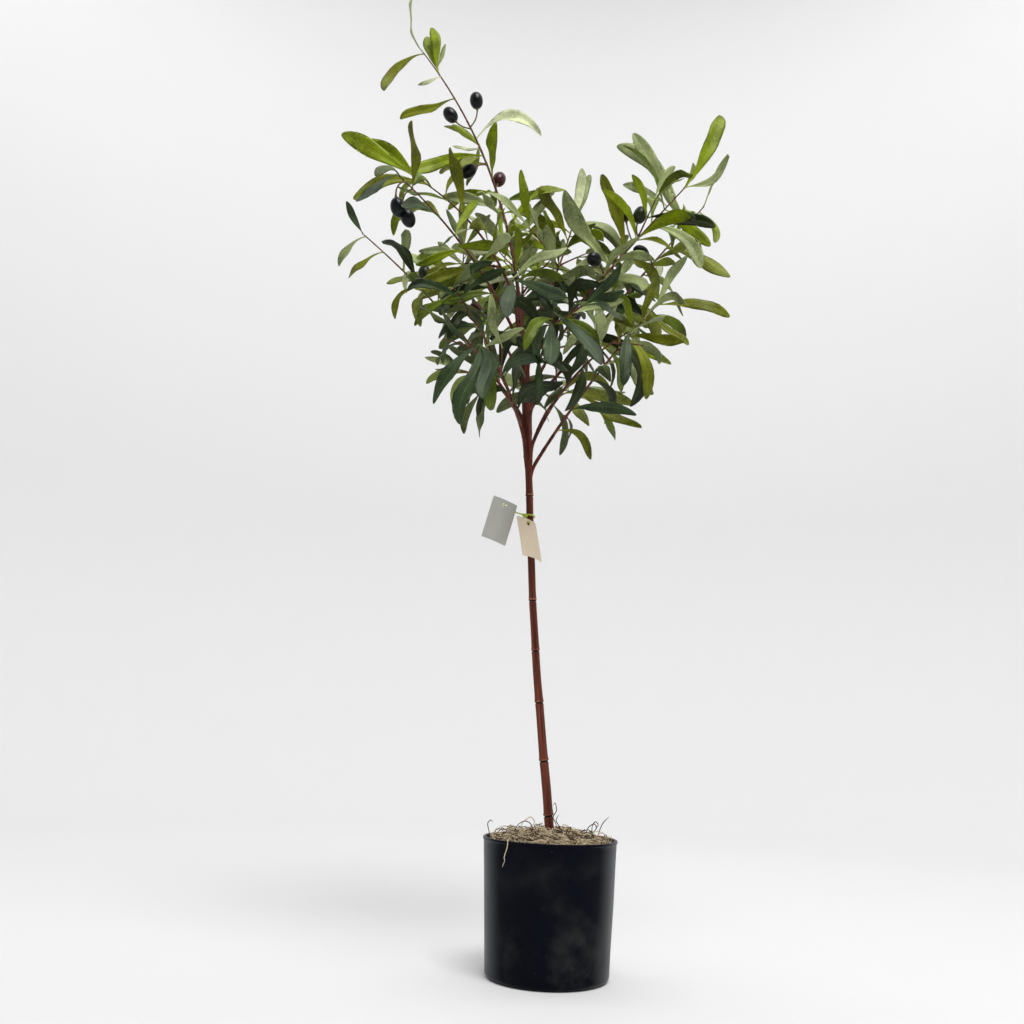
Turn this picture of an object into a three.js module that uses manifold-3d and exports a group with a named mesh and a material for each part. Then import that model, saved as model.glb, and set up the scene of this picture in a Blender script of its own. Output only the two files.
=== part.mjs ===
// An artificial olive tree about a metre tall in a black plant pot.
// Millimetres, +Z up, front towards -Y. The origin is the centre of the pot's flat underside.
import * as THREE from "three";
import { mergeVertices } from "three/addons/utils/BufferGeometryUtils.js";
import Module from "manifold-3d";

const wasm = await Module();
wasm.setup();

// Pot: outer sizes, wall, rolled lip and the flat rest under it
const POT = {
  height: 116,
  rimRadius: 60,
  footRadius: 54,
  wall: 1.8,
  floor: 3,
  lipDepth: 5,
  lipProud: 1.6,
  footCorner: 5,
  sides: 36,
};

// Fill: the plug of dry moss inside the pot, mounded at the trunk
const FILL = {
  crown: 119.7,
  edge: 109,
  flat: 8,
  clear: 0.8,
  bottom: 8,
  bump: [-1.2, 0.72],
  seed: 5,
  rings: 5,
  sides: 24,
};

// Trunk: a slim moulded cane with joint rings, swelling where the sprays are bundled into it
const TRUNK = {
  foot: 120,
  fork: 640,
  footX: -2,
  lean: 5.02,
  sway: 2.2,
  swayLength: 480,
  swayPhase: 0.63,
  depthSway: 1.5,
  footRadius: 4.1,
  caneRadius: 3.4,
  slimBy: 350,
  bundle: { radius: 2.3, from: 400, full: 505, easing: 560, gone: 632 },
  tipRadius: 2.3,
  tipFrom: 590,
  joints: [134.5, 182, 234, 281, 327.5, 428],
  sides: 10,
  ringStep: 24,
};
// Each joint's collar: offset along the cane and the share of its radius, a narrow neck under a proud lip
const COLLAR = [
  [-1.4, 1],
  [-0.4, 0.9],
  [0.6, 1.13],
  [4.5, 1.01],
];
const COLLAR_ROOM = [4, 9];

// Limbs: heading 0 is +X and 90 is the back, lean is measured from upright, lengths run along the limb.
// tip lists the leaves at a spray's end: how far back from it, splay, turn round the stem, length, droop
// and, where it isn't 0, roll.
// olives lists distance along the limb, turn round it, the stalk's droop and its length.
// tipZone is how far back from the end only those leaves grow.
// pairs and branching are the shares of leaf nodes that bear two leaves, or a side shoot.
const LIMB = { root: 2.5, tip: 0.85, taper: 0.8, step: 5, sides: 5, boughRing: 22, stemRing: 30 };
const SPRAYS = [
  {
    name: "leader",
    rise: 640,
    heading: 172,
    lean: [8, 36],
    bare: 0,
    length: 312,
    seed: 11,
    pairs: 0.1,
    branching: 0,
    tipZone: 142,
    tip: [
      [0, 2, 270, 76, -60, 60],
      [4, 58, 270, 70, 96, 10],
      [36, 20, 60, 64, -6, -20],
      [30, 56, 100, 32, -10],
      [40, 70, 262, 26, 30, 20],
      [72, 74, 270, 62, 24, 20],
      [128, 60, 92, 80, 92],
      [150, 56, 270, 86, 56, 10],
      [116, 14, 120, 40, 4],
      [212, 62, 84, 60, 60, -30],
      [222, 70, 70, 66, 110, -45],
    ],
    olives: [
      [200, 75, -45, 26],
      [198, 262, -50, 20],
      [150, 250, 50, 14],
      [122, 20, -30, 12],
    ],
  },
  {
    name: "left_high",
    rise: 600,
    heading: 188,
    lean: [11, 63],
    bare: 46,
    length: 202,
    seed: 12,
    pairs: 0.5,
    branching: 0.12,
    tipZone: 20,
    tip: [
      [0, 6, 90, 88, 12],
      [6, 18, 76, 76, 20],
      [16, 22, 270, 82, 52],
    ],
    olives: [],
  },
  {
    name: "left_low",
    rise: 500,
    heading: 176,
    lean: [33, 49],
    bare: 96,
    length: 270,
    seed: 13,
    pairs: 0.2,
    branching: 0.08,
    tipZone: 60,
    tip: [
      [0, 20, 90, 40, 0],
      [4, 62, 270, 44, 60],
      [30, 60, 270, 48, 60],
      [60, 50, 90, 48, -8],
      [84, 70, 270, 44, 50],
    ],
    olives: [
      [176, 84, -30, 12],
    ],
  },
  {
    name: "right_high",
    rise: 560,
    heading: -5,
    lean: [38, 40],
    bare: 62,
    length: 253,
    seed: 14,
    pairs: 0.4,
    branching: 0.14,
    tipZone: 30,
    tip: [
      [0, 4, 90, 98, -26],
      [16, 62, 90, 92, 44, 45],
      [24, 60, 80, 84, 22, 45],
      [4, 20, 120, 42, 10],
      [30, 80, 90, 56, 30, 30],
      [55, 78, 285, 84, 40, -20],
      [119, 74, 66, 90, 10, 20],
    ],
    olives: [
      [178, 84, -40, 18],
      [170, 104, -16, 30],
      [124, 50, 60, 20],
    ],
  },
  {
    name: "right_back",
    rise: 512,
    heading: 14,
    lean: [35, 38],
    bare: 92,
    length: 318,
    seed: 15,
    pairs: 0.1,
    branching: 0,
    tipZone: 12,
    tip: [
      [0, 16, 90, 76, -14, 60],
      [8, 80, 270, 46, 60],
      [70, 56, 290, 78, 44],
      [34, 64, 80, 56, 20],
    ],
    olives: [
      [222, 80, 50, 10],
    ],
  },
  {
    name: "right_low",
    rise: 450,
    heading: -10,
    lean: [29, 42],
    bare: 46,
    length: 211,
    seed: 16,
    pairs: 0.4,
    branching: 0.2,
    tipZone: 12,
    tip: [
      [0, 46, 268, 72, 20],
      [4, 12, 90, 58, -8],
      [12, 84, 270, 50, 30],
      [44, 50, 300, 66, 50],
      [120, 70, 270, 68, 46],
      [160, 60, 280, 50, 70],
    ],
    olives: [],
  },
  {
    name: "left_olive",
    rise: 575,
    heading: 206,
    lean: [27, 59],
    bare: 58,
    length: 212,
    seed: 17,
    pairs: 0.4,
    branching: 0.2,
    tipZone: 12,
    tip: [
      [0, 60, 270, 60, 50],
      [6, 50, 200, 62, 60],
    ],
    olives: [
      [202, 250, 80, 26],
      [192, 266, 90, 28],
    ],
  },
  {
    name: "crown_top",
    rise: 585,
    heading: 20,
    lean: [26, 14],
    bare: 44,
    length: 150,
    seed: 18,
    pairs: 0.5,
    branching: 0.2,
    tipZone: 12,
    tip: [
      [0, 6, 270, 68, -6],
      [10, 60, 100, 58, 50, 50],
      [14, 66, 262, 60, 40, -25],
    ],
    olives: [
      [92, 200, 40, 22],
    ],
  },
  {
    name: "left_fork",
    rise: 470,
    heading: 200,
    lean: [16, 40],
    bare: 44,
    length: 180,
    seed: 19,
    pairs: 0.5,
    branching: 0.24,
    tipZone: 12,
    tip: [
      [0, 80, 170, 80, 70],
      [6, 60, 90, 50, 60],
      [12, 58, 300, 56, 60],
      [130, 80, 130, 50, 30],
    ],
    olives: [],
  },
  {
    name: "right_front",
    rise: 470,
    heading: -44,
    lean: [26, 78],
    bare: 46,
    length: 160,
    seed: 20,
    pairs: 0.5,
    branching: 0.24,
    tipZone: 12,
    tip: [
      [0, 80, 320, 72, 60],
      [8, 60, 240, 68, 60],
      [30, 70, 250, 52, 50],
    ],
    olives: [],
  },
  {
    name: "front_left",
    rise: 466,
    heading: 240,
    lean: [26, 74],
    bare: 34,
    length: 130,
    seed: 21,
    pairs: 0.5,
    branching: 0.3,
    tipZone: 12,
    tip: [
      [0, 70, 307, 70, 24],
      [2, 66, 255, 90, 24],
      [6, 72, 166, 42, 20],
    ],
    olives: [],
  },
  {
    name: "front_right",
    rise: 494,
    heading: 282,
    lean: [26, 70],
    bare: 36,
    length: 128,
    seed: 22,
    pairs: 0.5,
    branching: 0.3,
    tipZone: 12,
    tip: [
      [0, 72, 236, 78, 30],
      [12, 62, 254, 84, 40],
      [8, 60, 318, 62, 50],
    ],
    olives: [],
  },
  {
    name: "front_high",
    rise: 535,
    heading: 258,
    lean: [24, 66],
    bare: 32,
    length: 116,
    seed: 23,
    pairs: 0.5,
    branching: 0.2,
    tipZone: 12,
    tip: [
      [0, 70, 149, 58, 8],
      [2, 74, 208, 78, 26],
      [4, 58, 262, 84, 30],
    ],
    olives: [],
  },
  {
    name: "back_right",
    rise: 520,
    heading: 52,
    lean: [26, 50],
    bare: 78,
    length: 248,
    seed: 24,
    pairs: 0.4,
    branching: 0.2,
    tipZone: 12,
    tip: [
      [0, 12, 90, 78, 20],
      [8, 42, 200, 70, 50],
      [14, 42, 340, 72, 50],
    ],
    olives: [
      [186, 180, 60, 22],
      [176, 20, 70, 22],
    ],
  },
  {
    name: "back_left",
    rise: 532,
    heading: 128,
    lean: [26, 56],
    bare: 76,
    length: 244,
    seed: 25,
    pairs: 0.4,
    branching: 0.2,
    tipZone: 12,
    tip: [
      [0, 12, 90, 76, 20],
      [8, 42, 190, 72, 50],
      [14, 44, 350, 70, 50],
    ],
    olives: [
      [190, 0, 70, 22],
    ],
  },
  {
    name: "back_high",
    rise: 592,
    heading: 92,
    lean: [16, 58],
    bare: 52,
    length: 166,
    seed: 26,
    pairs: 0.4,
    branching: 0.2,
    tipZone: 12,
    tip: [
      [0, 10, 90, 74, 30],
      [8, 40, 190, 70, 50],
      [14, 40, 350, 72, 50],
    ],
    olives: [
      [118, 10, 60, 22],
      [108, 170, 70, 22],
    ],
  },
  {
    name: "back_low_right",
    rise: 466,
    heading: 68,
    lean: [28, 70],
    bare: 68,
    length: 178,
    seed: 27,
    pairs: 0.5,
    branching: 0.24,
    tipZone: 12,
    tip: [
      [0, 22, 250, 66, 40],
      [8, 46, 20, 62, 50],
      [12, 46, 160, 62, 50],
    ],
    olives: [],
  },
  {
    name: "back_low_left",
    rise: 480,
    heading: 118,
    lean: [28, 72],
    bare: 68,
    length: 186,
    seed: 28,
    pairs: 0.5,
    branching: 0.2,
    tipZone: 12,
    tip: [
      [0, 22, 260, 64, 40],
      [8, 46, 20, 60, 50],
      [12, 46, 170, 62, 50],
    ],
    olives: [],
  },
];

// Leaves: sizes, the outline's stations along the leaf and how they are spaced on a stem.
// outer is how far a leaf's place along the stem shortens it, the rest is drawn.
// Leaves near the crown's foot hang by up to lowDroop more, which is gone lowRise above it.
const LEAF = {
  longest: 88,
  shortest: 52,
  outer: 0.25,
  slender: 0.2,
  skew: 1.15,
  fullness: 0.8,
  thick: 1.05,
  thickShare: 1 / 80,
  stations: [-0.02, 0.2, 0.6, 1],
  nodeStep: 20,
  nodeJitter: [0.85, 1.15],
  nodeStart: 12,
  nodeTurn: [110, 160],
  splay: [34, 66],
  droop: [14, 74],
  lowDroop: 52,
  lowRise: 320,
  facing: { out: 0.5, up: 0.1, jitter: 32 },
};
const SHOOT = {
  length: [34, 56],
  bend: [-20, 30],
  splay: [36, 58],
  radius: 1.1,
  tipRadius: 0.75,
  sides: 3,
  leaves: 5,
  pairAt: 0.55,
  leaf: [42, 60],
  leafSplay: [30, 52],
  endSplay: 8,
  leafTurn: 40,
  leafRoll: [-30, 30],
  leafDroop: [10, 60],
};
const OLIVE = { radius: 7, half: 9.5, stalk: 1.1, splay: 62, seat: 0.9, rounds: 6, rings: 4 };

// Clearances: between masses, inside one mass, and face to face
const CLEAR = { others: 3, own: 1.7, face: 0.3 };
const LIMB_TEST_STEP = 15;
// Sprays rooted nearer than this to the back face forward
const FRONT_HALF = 18;
// The crown's own limits for what is grown by the rule. Its roof is a valley between a tall left side and
// the right side: level in the middle, rising by a slope past each shoulder, falling to front and back.
// Its underside is level too and rises by a slope past each hip.
const CROWN = {
  foot: 484,
  left: -215,
  right: 152,
  depth: 172,
  roof: 800,
  leftShoulder: { x: -60, slope: 1.5 },
  rightShoulder: { x: 80, slope: 0.6 },
  fall: 0.4,
  leftHip: { x: -92, slope: 2 },
  rightHip: { x: 60, slope: 1.6 },
  depthHip: { y: 80, slope: 1.4 },
};

// Tags: two blank hang tags on a thin tie round the trunk, its ends led by offsets from each tag's hole
const TIE = {
  height: 408,
  wire: 0.7,
  clear: 0.5,
  pitch: 2.8,
  from: 235,
  turn: 325,
  points: 10,
  steps: 40,
  leftEnd: [0.9, -3.4, -1.2],
  leftLead: [
    [-0.6, 3.9, -1.2],
    [5, 7.6, -3.4],
    [14, 7.4, -7.4],
  ],
  rightLead: [
    [-4.7, 7.5, 3],
    [-2.6, 3.2, -0.4],
  ],
  rightEnd: [2.2, -2.6, -0.6],
};
const TAG = { width: 26, length: 42, thick: 0.8, corner: 1, hole: 2.2, holeDown: 5 };
const TAGS = [
  { name: "tag_left", wire: [-52, -9, 418], pitch: 0, tilt: 15, yaw: 26, colour: "tagGrey" },
  { name: "tag_right", wire: [-29.5, -14, 400], pitch: -20, tilt: 6, yaw: 45, colour: "tagCream" },
];

const COLOUR = {
  pot: 0x191a1c,
  moss: 0x6b5334,
  bark: 0x6a3326,
  leaf: 0x4c6140,
  tie: 0x3d7a3a,
  tagGrey: 0xb9bcb6,
  tagCream: 0xe6e0cc,
};

const UP = new THREE.Vector3(0, 0, 1);
const DOWN = new THREE.Vector3(0, 0, -1);
const BACK = new THREE.Vector3(0, 1, 0);

const radians = (degrees) => (degrees * Math.PI) / 180;
const mix = (a, b, share) => a + (b - a) * share;
function smooth(from, to, value) {
  const share = Math.min(1, Math.max(0, (value - from) / (to - from)));
  return share * share * (3 - 2 * share);
}

// Seeded draws between 0 and 1
function drawsFrom(seed) {
  let state = seed * 7919 + 104729;
  const draw = () => {
    state = (state * 16807) % 2147483647;
    return state / 2147483647;
  };
  draw();
  draw();
  return draw;
}

// Solids: a closed geometry to a solid for joining and cutting, and back to a mesh
function solidOf(geometry) {
  const bare = new THREE.BufferGeometry();
  bare.setAttribute("position", geometry.getAttribute("position"));
  bare.setIndex(geometry.getIndex());
  const merged = mergeVertices(bare, 1e-4);
  const corners = merged.index.array;
  const kept = [];
  for (let i = 0; i < corners.length; i += 3) {
    const [a, b, c] = [corners[i], corners[i + 1], corners[i + 2]];
    if (a !== b && b !== c && a !== c) kept.push(a, b, c);
  }
  return new wasm.Manifold(
    new wasm.Mesh({
      numProp: 3,
      vertProperties: new Float32Array(merged.attributes.position.array),
      triVerts: new Uint32Array(kept),
    }),
  );
}

// The largest body of a solid: loose scraps and sealed hollows are left behind
function largestBody(solid) {
  const bodies = solid.decompose();
  return bodies.reduce((best, body) => (body.volume() > best.volume() ? body : best));
}

function meshOf(name, solid, colour, roughness) {
  const { vertProperties, triVerts, numProp } = solid.getMesh();
  const positions = new Float32Array((vertProperties.length / numProp) * 3);
  for (let i = 0; i < positions.length / 3; i++)
    positions.set(vertProperties.subarray(i * numProp, i * numProp + 3), i * 3);
  const geometry = new THREE.BufferGeometry();
  geometry.setAttribute("position", new THREE.BufferAttribute(positions, 3));
  geometry.setIndex(new THREE.BufferAttribute(new Uint32Array(triVerts), 1));
  geometry.computeVertexNormals();
  const material = new THREE.MeshStandardMaterial({ color: colour, roughness, metalness: 0 });
  const mesh = new THREE.Mesh(geometry, material);
  mesh.name = name;
  return mesh;
}

// Centre lines: points at even steps with the direction ahead at each
function limbLine({ start, heading, lean, length }) {
  const count = Math.ceil(length / LIMB.step);
  const step = length / count;
  const azimuth = radians(heading);
  const line = { points: [start.clone()], ahead: [], step, length, across: UP };
  for (let i = 0; i <= count; i++) {
    const angle = radians(mix(lean[0], lean[1], Math.min(i + 0.5, count) / count));
    const ahead = new THREE.Vector3(
      Math.sin(angle) * Math.cos(azimuth),
      Math.sin(angle) * Math.sin(azimuth),
      Math.cos(angle),
    );
    line.ahead.push(ahead);
    if (i < count) line.points.push(line.points[i].clone().addScaledVector(ahead, step));
  }
  return line;
}

// The place at a distance along a line: its point, the direction ahead, and two directions across it
function placeOn(line, distance) {
  const last = line.points.length - 2;
  const index = Math.min(last, Math.max(0, Math.floor(distance / line.step)));
  const share = distance / line.step - index;
  const point = line.points[index].clone().lerp(line.points[index + 1], share);
  const ahead = line.ahead[index].clone().lerp(line.ahead[index + 1], share).normalize();
  const side = ahead.clone().cross(line.across).normalize();
  return { point, ahead, side, over: side.clone().cross(ahead) };
}

function trunkPoint(z) {
  const rise = z - TRUNK.foot;
  const wave = 2 * Math.PI * (rise / TRUNK.swayLength - TRUNK.swayPhase);
  return new THREE.Vector3(
    TRUNK.footX - Math.tan(radians(TRUNK.lean)) * rise + TRUNK.sway * Math.sin(wave),
    TRUNK.depthSway * Math.sin((2 * Math.PI * rise) / TRUNK.swayLength),
    z,
  );
}

function trunkRadius(z) {
  const { radius, from, full, easing, gone } = TRUNK.bundle;
  const cane = mix(TRUNK.footRadius, TRUNK.caneRadius, smooth(TRUNK.foot, TRUNK.slimBy, z));
  const bundle = radius * smooth(from, full, z) * (1 - smooth(easing, gone, z));
  const ending = mix(1, TRUNK.tipRadius / TRUNK.caneRadius, smooth(TRUNK.tipFrom, TRUNK.fork, z));
  return cane * ending + bundle;
}

// A round tapering solid along a place function, with rings at the given stations
function sweep(stations, placeAt, radiusAt, sides) {
  const geometry = new THREE.CylinderGeometry(1, 1, 1, sides, stations.length - 1);
  const position = geometry.getAttribute("position");
  for (let i = 0; i < position.count; i++) {
    const ring = Math.round((position.getY(i) + 0.5) * (stations.length - 1));
    const station = stations[ring];
    const { point, side, over } = placeAt(station);
    const radius = radiusAt(station);
    point.addScaledVector(side, position.getX(i) * radius);
    point.addScaledVector(over, position.getZ(i) * radius);
    position.setXYZ(i, point.x, point.y, point.z);
  }
  return solidOf(geometry);
}

function evenStations(from, to, step) {
  const count = Math.max(1, Math.round((to - from) / step));
  return Array.from({ length: count + 1 }, (_, i) => mix(from, to, i / count));
}

// Leaves: a circular arc that leaves in direction out and bends down by droop, with a rolled blade
function leafPlace(leaf, t) {
  const out = leaf.out;
  const fall = DOWN.clone().addScaledVector(out, -DOWN.dot(out)).normalize();
  const flat = fall.clone().cross(out).normalize();
  const bend = radians(leaf.droop);
  const turned = bend * t;
  const along = Math.abs(bend) < 1e-3 ? t : Math.sin(turned) / bend;
  const aside = Math.abs(bend) < 1e-3 ? 0 : (1 - Math.cos(turned)) / bend;
  const point = leaf.root
    .clone()
    .addScaledVector(out, leaf.length * along)
    .addScaledVector(fall, leaf.length * aside);
  const ahead = out.clone().multiplyScalar(Math.cos(turned)).addScaledVector(fall, Math.sin(turned));
  const above = flat.clone().cross(ahead);
  const roll = radians(leaf.roll);
  const side = flat.clone().multiplyScalar(Math.cos(roll)).addScaledVector(above, Math.sin(roll));
  return { point, ahead, side, over: side.clone().cross(ahead) };
}

// The roll that turns a blade's upper face outwards: to the front on the front half, to the back on the rest
function facingRoll(root, out) {
  const axis = trunkPoint(root.z);
  const outward = new THREE.Vector3(root.x - axis.x, root.y - axis.y, 0);
  if (outward.length() > 1) outward.normalize();
  const target = outward.multiplyScalar(LEAF.facing.out).addScaledVector(UP, LEAF.facing.up);
  target.y += root.y < FRONT_HALF ? -1 : 1;
  const fall = DOWN.clone().addScaledVector(out, -DOWN.dot(out)).normalize();
  const flat = fall.clone().cross(out).normalize();
  const above = flat.clone().cross(out);
  return (Math.atan2(-target.dot(flat), target.dot(above)) * 180) / Math.PI;
}

// Half the blade's width at a share of its length: narrow at the root, widest past the middle
function leafHalfWidth(leaf, t) {
  if (t <= 0 || t >= 1) return 0;
  return (leaf.width / 2) * Math.pow(Math.sin(Math.PI * Math.pow(t, LEAF.skew)), LEAF.fullness);
}

// A leaf's solid: flat above with a keel below along the midrib, its root a point inside the stem
function leafSolid(leaf) {
  const rings = LEAF.stations.length - 1;
  const geometry = new THREE.CylinderGeometry(1, 1, 1, 3, rings);
  const position = geometry.getAttribute("position");
  for (let i = 0; i < position.count; i++) {
    const t = LEAF.stations[Math.round((position.getY(i) + 0.5) * rings)];
    const { point, side, over } = leafPlace(leaf, t);
    const half = leafHalfWidth(leaf, t);
    const thick = half > 0 ? Math.max(LEAF.thick, leaf.length * LEAF.thickShare) : 0;
    const onAxis = Math.hypot(position.getX(i), position.getZ(i)) < 0.5;
    const across = onAxis ? 0 : position.getX(i) / Math.sin(radians(60));
    const below = onAxis ? 0.5 : (position.getZ(i) + 0.5) / 1.5;
    point.addScaledVector(side, -across * half);
    point.addScaledVector(over, -below * thick);
    position.setXYZ(i, point.x, point.y, point.z);
  }
  return solidOf(geometry);
}

// Clearance tests: each thing grown is a set of straight segments with a radius, and a ball round them
function distanceBetween(p, q, r, s) {
  const d1 = q.clone().sub(p);
  const d2 = s.clone().sub(r);
  const w = p.clone().sub(r);
  const [a, e, f, b, c] = [d1.dot(d1), d2.dot(d2), d2.dot(w), d1.dot(d2), d1.dot(w)];
  const clamp = (value) => Math.min(1, Math.max(0, value));
  const spread = a * e - b * b;
  let m = spread > 1e-9 ? clamp((b * f - c * e) / spread) : 0;
  const n = clamp((b * m + f) / e);
  m = clamp((b * n - c) / a);
  return w.addScaledVector(d1, m).addScaledVector(d2, -n).length();
}

function segmentsOf(lines) {
  return lines.flatMap((line) => line.slice(1).map((point, i) => [line[i], point]));
}

// rooted things keep their first stretch out of the test against their own mass
function thing(mass, lines, radius, rooted = false) {
  const points = lines.flat();
  const box = new THREE.Box3().setFromPoints(points);
  const centre = box.getCenter(new THREE.Vector3());
  const reach = Math.max(...points.map((point) => point.distanceTo(centre)));
  const segments = segmentsOf(lines);
  const outer = rooted ? segmentsOf(lines.map((line) => line.slice(1))) : segments;
  return { mass, segments, outer, radius, centre, reach };
}

function isClear(candidate, placed) {
  return placed.every((other) => {
    const own = other.mass === candidate.mass;
    const gap = (own ? CLEAR.own : CLEAR.others) + other.radius + candidate.radius;
    if (candidate.centre.distanceTo(other.centre) > candidate.reach + other.reach + gap) return true;
    return (own ? candidate.outer : candidate.segments).every(([p, q]) =>
      other.segments.every(([r, s]) => distanceBetween(p, q, r, s) >= gap),
    );
  });
}

function linePoints(line, from, to) {
  return evenStations(from, to, LIMB_TEST_STEP).map((distance) => placeOn(line, distance).point);
}

// A leaf's five rails from its root to its tip
const RAIL_STATIONS = [0.04, 0.3, 0.5, 0.75, 1];
const RAILS = [-1, -0.5, 0, 0.5, 1];
function leafThing(mass, leaf) {
  const lines = RAILS.map((rail) =>
    RAIL_STATIONS.map((t) => {
      const { point, side } = leafPlace(leaf, t);
      return point.addScaledVector(side, rail * leafHalfWidth(leaf, t));
    }),
  );
  return thing(mass, lines, 0, true);
}

function insideCrown(grown) {
  return grown.segments.every(([, { x, y, z }]) => {
    const past = ({ slope }, away) => slope * Math.max(0, away);
    const { leftShoulder, rightShoulder, leftHip, rightHip, depthHip } = CROWN;
    const shoulders = past(leftShoulder, leftShoulder.x - x) + past(rightShoulder, x - rightShoulder.x);
    const hips = past(leftHip, leftHip.x - x) + past(rightHip, x - rightHip.x);
    const roof = CROWN.roof + shoulders - CROWN.fall * Math.abs(y);
    const underside = CROWN.foot + hips + past(depthHip, Math.abs(y) - depthHip.y);
    const inPlan = x > CROWN.left && x < CROWN.right && Math.abs(y) < CROWN.depth;
    return inPlan && z > underside && z < roof;
  });
}

function outFrom(place, splay, around) {
  const [open, turn] = [radians(splay), radians(around)];
  return place.ahead
    .clone()
    .multiplyScalar(Math.cos(open))
    .addScaledVector(place.side, Math.sin(open) * Math.cos(turn))
    .addScaledVector(place.over, Math.sin(open) * Math.sin(turn));
}

// One leaf is offered at several turns round its stem, shorter each time, and skipped if none is clear
const TURNS = [0, 28, -28, 56, -56, 90, -90];
const SHORTER = 0.03;
function offerLeaf(growth, spray, place, { splay, around, length, roll, droop, named = false }) {
  for (const [attempt, turn] of TURNS.entries()) {
    const size = length * (1 - SHORTER * attempt);
    const out = outFrom(place, splay, around + turn);
    const leaf = {
      root: place.point,
      out,
      length: size,
      width: size * LEAF.slender,
      roll: facingRoll(place.point, out) + roll,
      droop,
    };
    const grown = leafThing(spray.name, leaf);
    if ((named || insideCrown(grown)) && isClear(grown, growth.placed)) {
      growth.placed.push(grown);
      spray.leaves.push(leaf);
      return true;
    }
  }
  return false;
}

function stemRadius(spray, distance) {
  return mix(LIMB.root, LIMB.tip, Math.pow(distance / spray.length, LIMB.taper));
}

// Growth: limbs first, then olives, then the leaves at each tip, then leaves and shoots along the stems
function growSprays() {
  const trunkLine = evenStations(TRUNK.foot, TRUNK.fork, LIMB_TEST_STEP).map(trunkPoint);
  const trunkThing = thing("trunk", [trunkLine], TRUNK.caneRadius + TRUNK.bundle.radius);
  const growth = { placed: [trunkThing], sprays: [] };
  for (const named of SPRAYS) {
    const line = limbLine({ ...named, start: trunkPoint(named.rise) });
    const spray = { ...named, line, leaves: [], shoots: [], fruit: [] };
    growth.sprays.push(spray);
    growth.placed.push(
      thing(spray.name, [linePoints(line, spray.bare, spray.length)], LIMB.root / 2),
      thing("bough", [linePoints(line, 0, Math.max(spray.bare, 1))], LIMB.root),
    );
  }
  for (const spray of growth.sprays) {
    for (const named of spray.olives) growOlive(growth, spray, named);
  }
  for (const spray of growth.sprays) growTip(growth, spray);
  for (const spray of growth.sprays) growAlong(growth, spray);
  return growth.sprays;
}

function growTip(growth, spray) {
  for (const [back, splay, around, length, droop, roll = 0] of spray.tip) {
    const place = placeOn(spray.line, spray.length - back);
    offerLeaf(growth, spray, place, { splay, around, length, roll, droop, named: true });
  }
}

function growOlive(growth, spray, [distance, around, bend, stalk]) {
  const { point, ahead, side, over } = placeOn(spray.line, distance);
  const out = outFrom({ ahead, side, over }, OLIVE.splay, around);
  const arc = { root: point, out, length: stalk, droop: bend, roll: 0 };
  const end = leafPlace(arc, 1);
  const centre = end.point.clone().addScaledVector(end.ahead, OLIVE.half * OLIVE.seat);
  const reach = OLIVE.half - OLIVE.radius + 1;
  const axis = [-reach, reach].map((away) => centre.clone().addScaledVector(end.ahead, away));
  const stalkLine = [0.1, 0.5, 1].map((t) => leafPlace(arc, t).point);
  growth.placed.push(
    thing(spray.name, [stalkLine], OLIVE.stalk),
    thing(spray.name, [axis], OLIVE.radius),
  );
  spray.fruit.push({ arc, centre, ahead: end.ahead, side: end.side, over: end.over });
}

function growAlong(growth, spray) {
  const draw = drawsFrom(spray.seed);
  let around = 360 * draw();
  let distance = spray.bare + LEAF.nodeStart;
  while (distance < spray.length - spray.tipZone) {
    const place = placeOn(spray.line, distance);
    const outer = distance / spray.length;
    around += mix(...LEAF.nodeTurn, draw());
    const halves = draw() < spray.pairs ? [0, 180] : [0];
    for (const half of halves) {
      const splay = mix(...LEAF.splay, draw());
      const length = mix(LEAF.longest, LEAF.shortest, LEAF.outer * outer + (1 - LEAF.outer) * draw());
      const roll = LEAF.facing.jitter * mix(-1, 1, draw());
      const low = 1 - smooth(CROWN.foot, CROWN.foot + LEAF.lowRise, place.point.z);
      const droop = mix(...LEAF.droop, draw()) + LEAF.lowDroop * low;
      offerLeaf(growth, spray, place, { splay, around: around + half, length, roll, droop });
    }
    if (draw() < spray.branching) growShoot(growth, spray, place, around + 90, draw);
    distance += LEAF.nodeStep * mix(...LEAF.nodeJitter, draw());
  }
}

// A short side shoot: a thin bent twig with a pair of leaves half way and three at its end
function growShoot(growth, spray, place, around, draw) {
  const length = mix(...SHOOT.length, draw());
  const bend = mix(...SHOOT.bend, draw());
  const splay = mix(...SHOOT.splay, draw());
  const leafDraws = Array.from({ length: SHOOT.leaves }, () => [draw(), draw(), draw()]);
  for (const turn of TURNS) {
    const out = outFrom(place, splay, around + turn);
    const arc = { root: place.point, out, length, droop: bend, roll: 0 };
    const points = [0.1, 0.35, 0.7, 1].map((t) => leafPlace(arc, t).point);
    const grown = thing(spray.name, [points], SHOOT.radius, true);
    if (!insideCrown(grown) || !isClear(grown, growth.placed)) continue;
    growth.placed.push(grown);
    spray.shoots.push(arc);
    for (const [i, draws] of leafDraws.entries()) growShootLeaf(growth, spray, arc, i, draws);
    return;
  }
}

function growShootLeaf(growth, spray, arc, i, [a, b, c]) {
  const last = i === SHOOT.leaves - 1;
  offerLeaf(growth, spray, leafPlace(arc, i < 2 ? SHOOT.pairAt : 1), {
    splay: last ? SHOOT.endSplay : mix(...SHOOT.leafSplay, a),
    around: 180 * i + 90 * Math.floor(i / 2) + SHOOT.leafTurn * b,
    length: mix(...SHOOT.leaf, c),
    roll: mix(...SHOOT.leafRoll, b),
    droop: mix(...SHOOT.leafDroop, a),
  });
}

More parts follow.
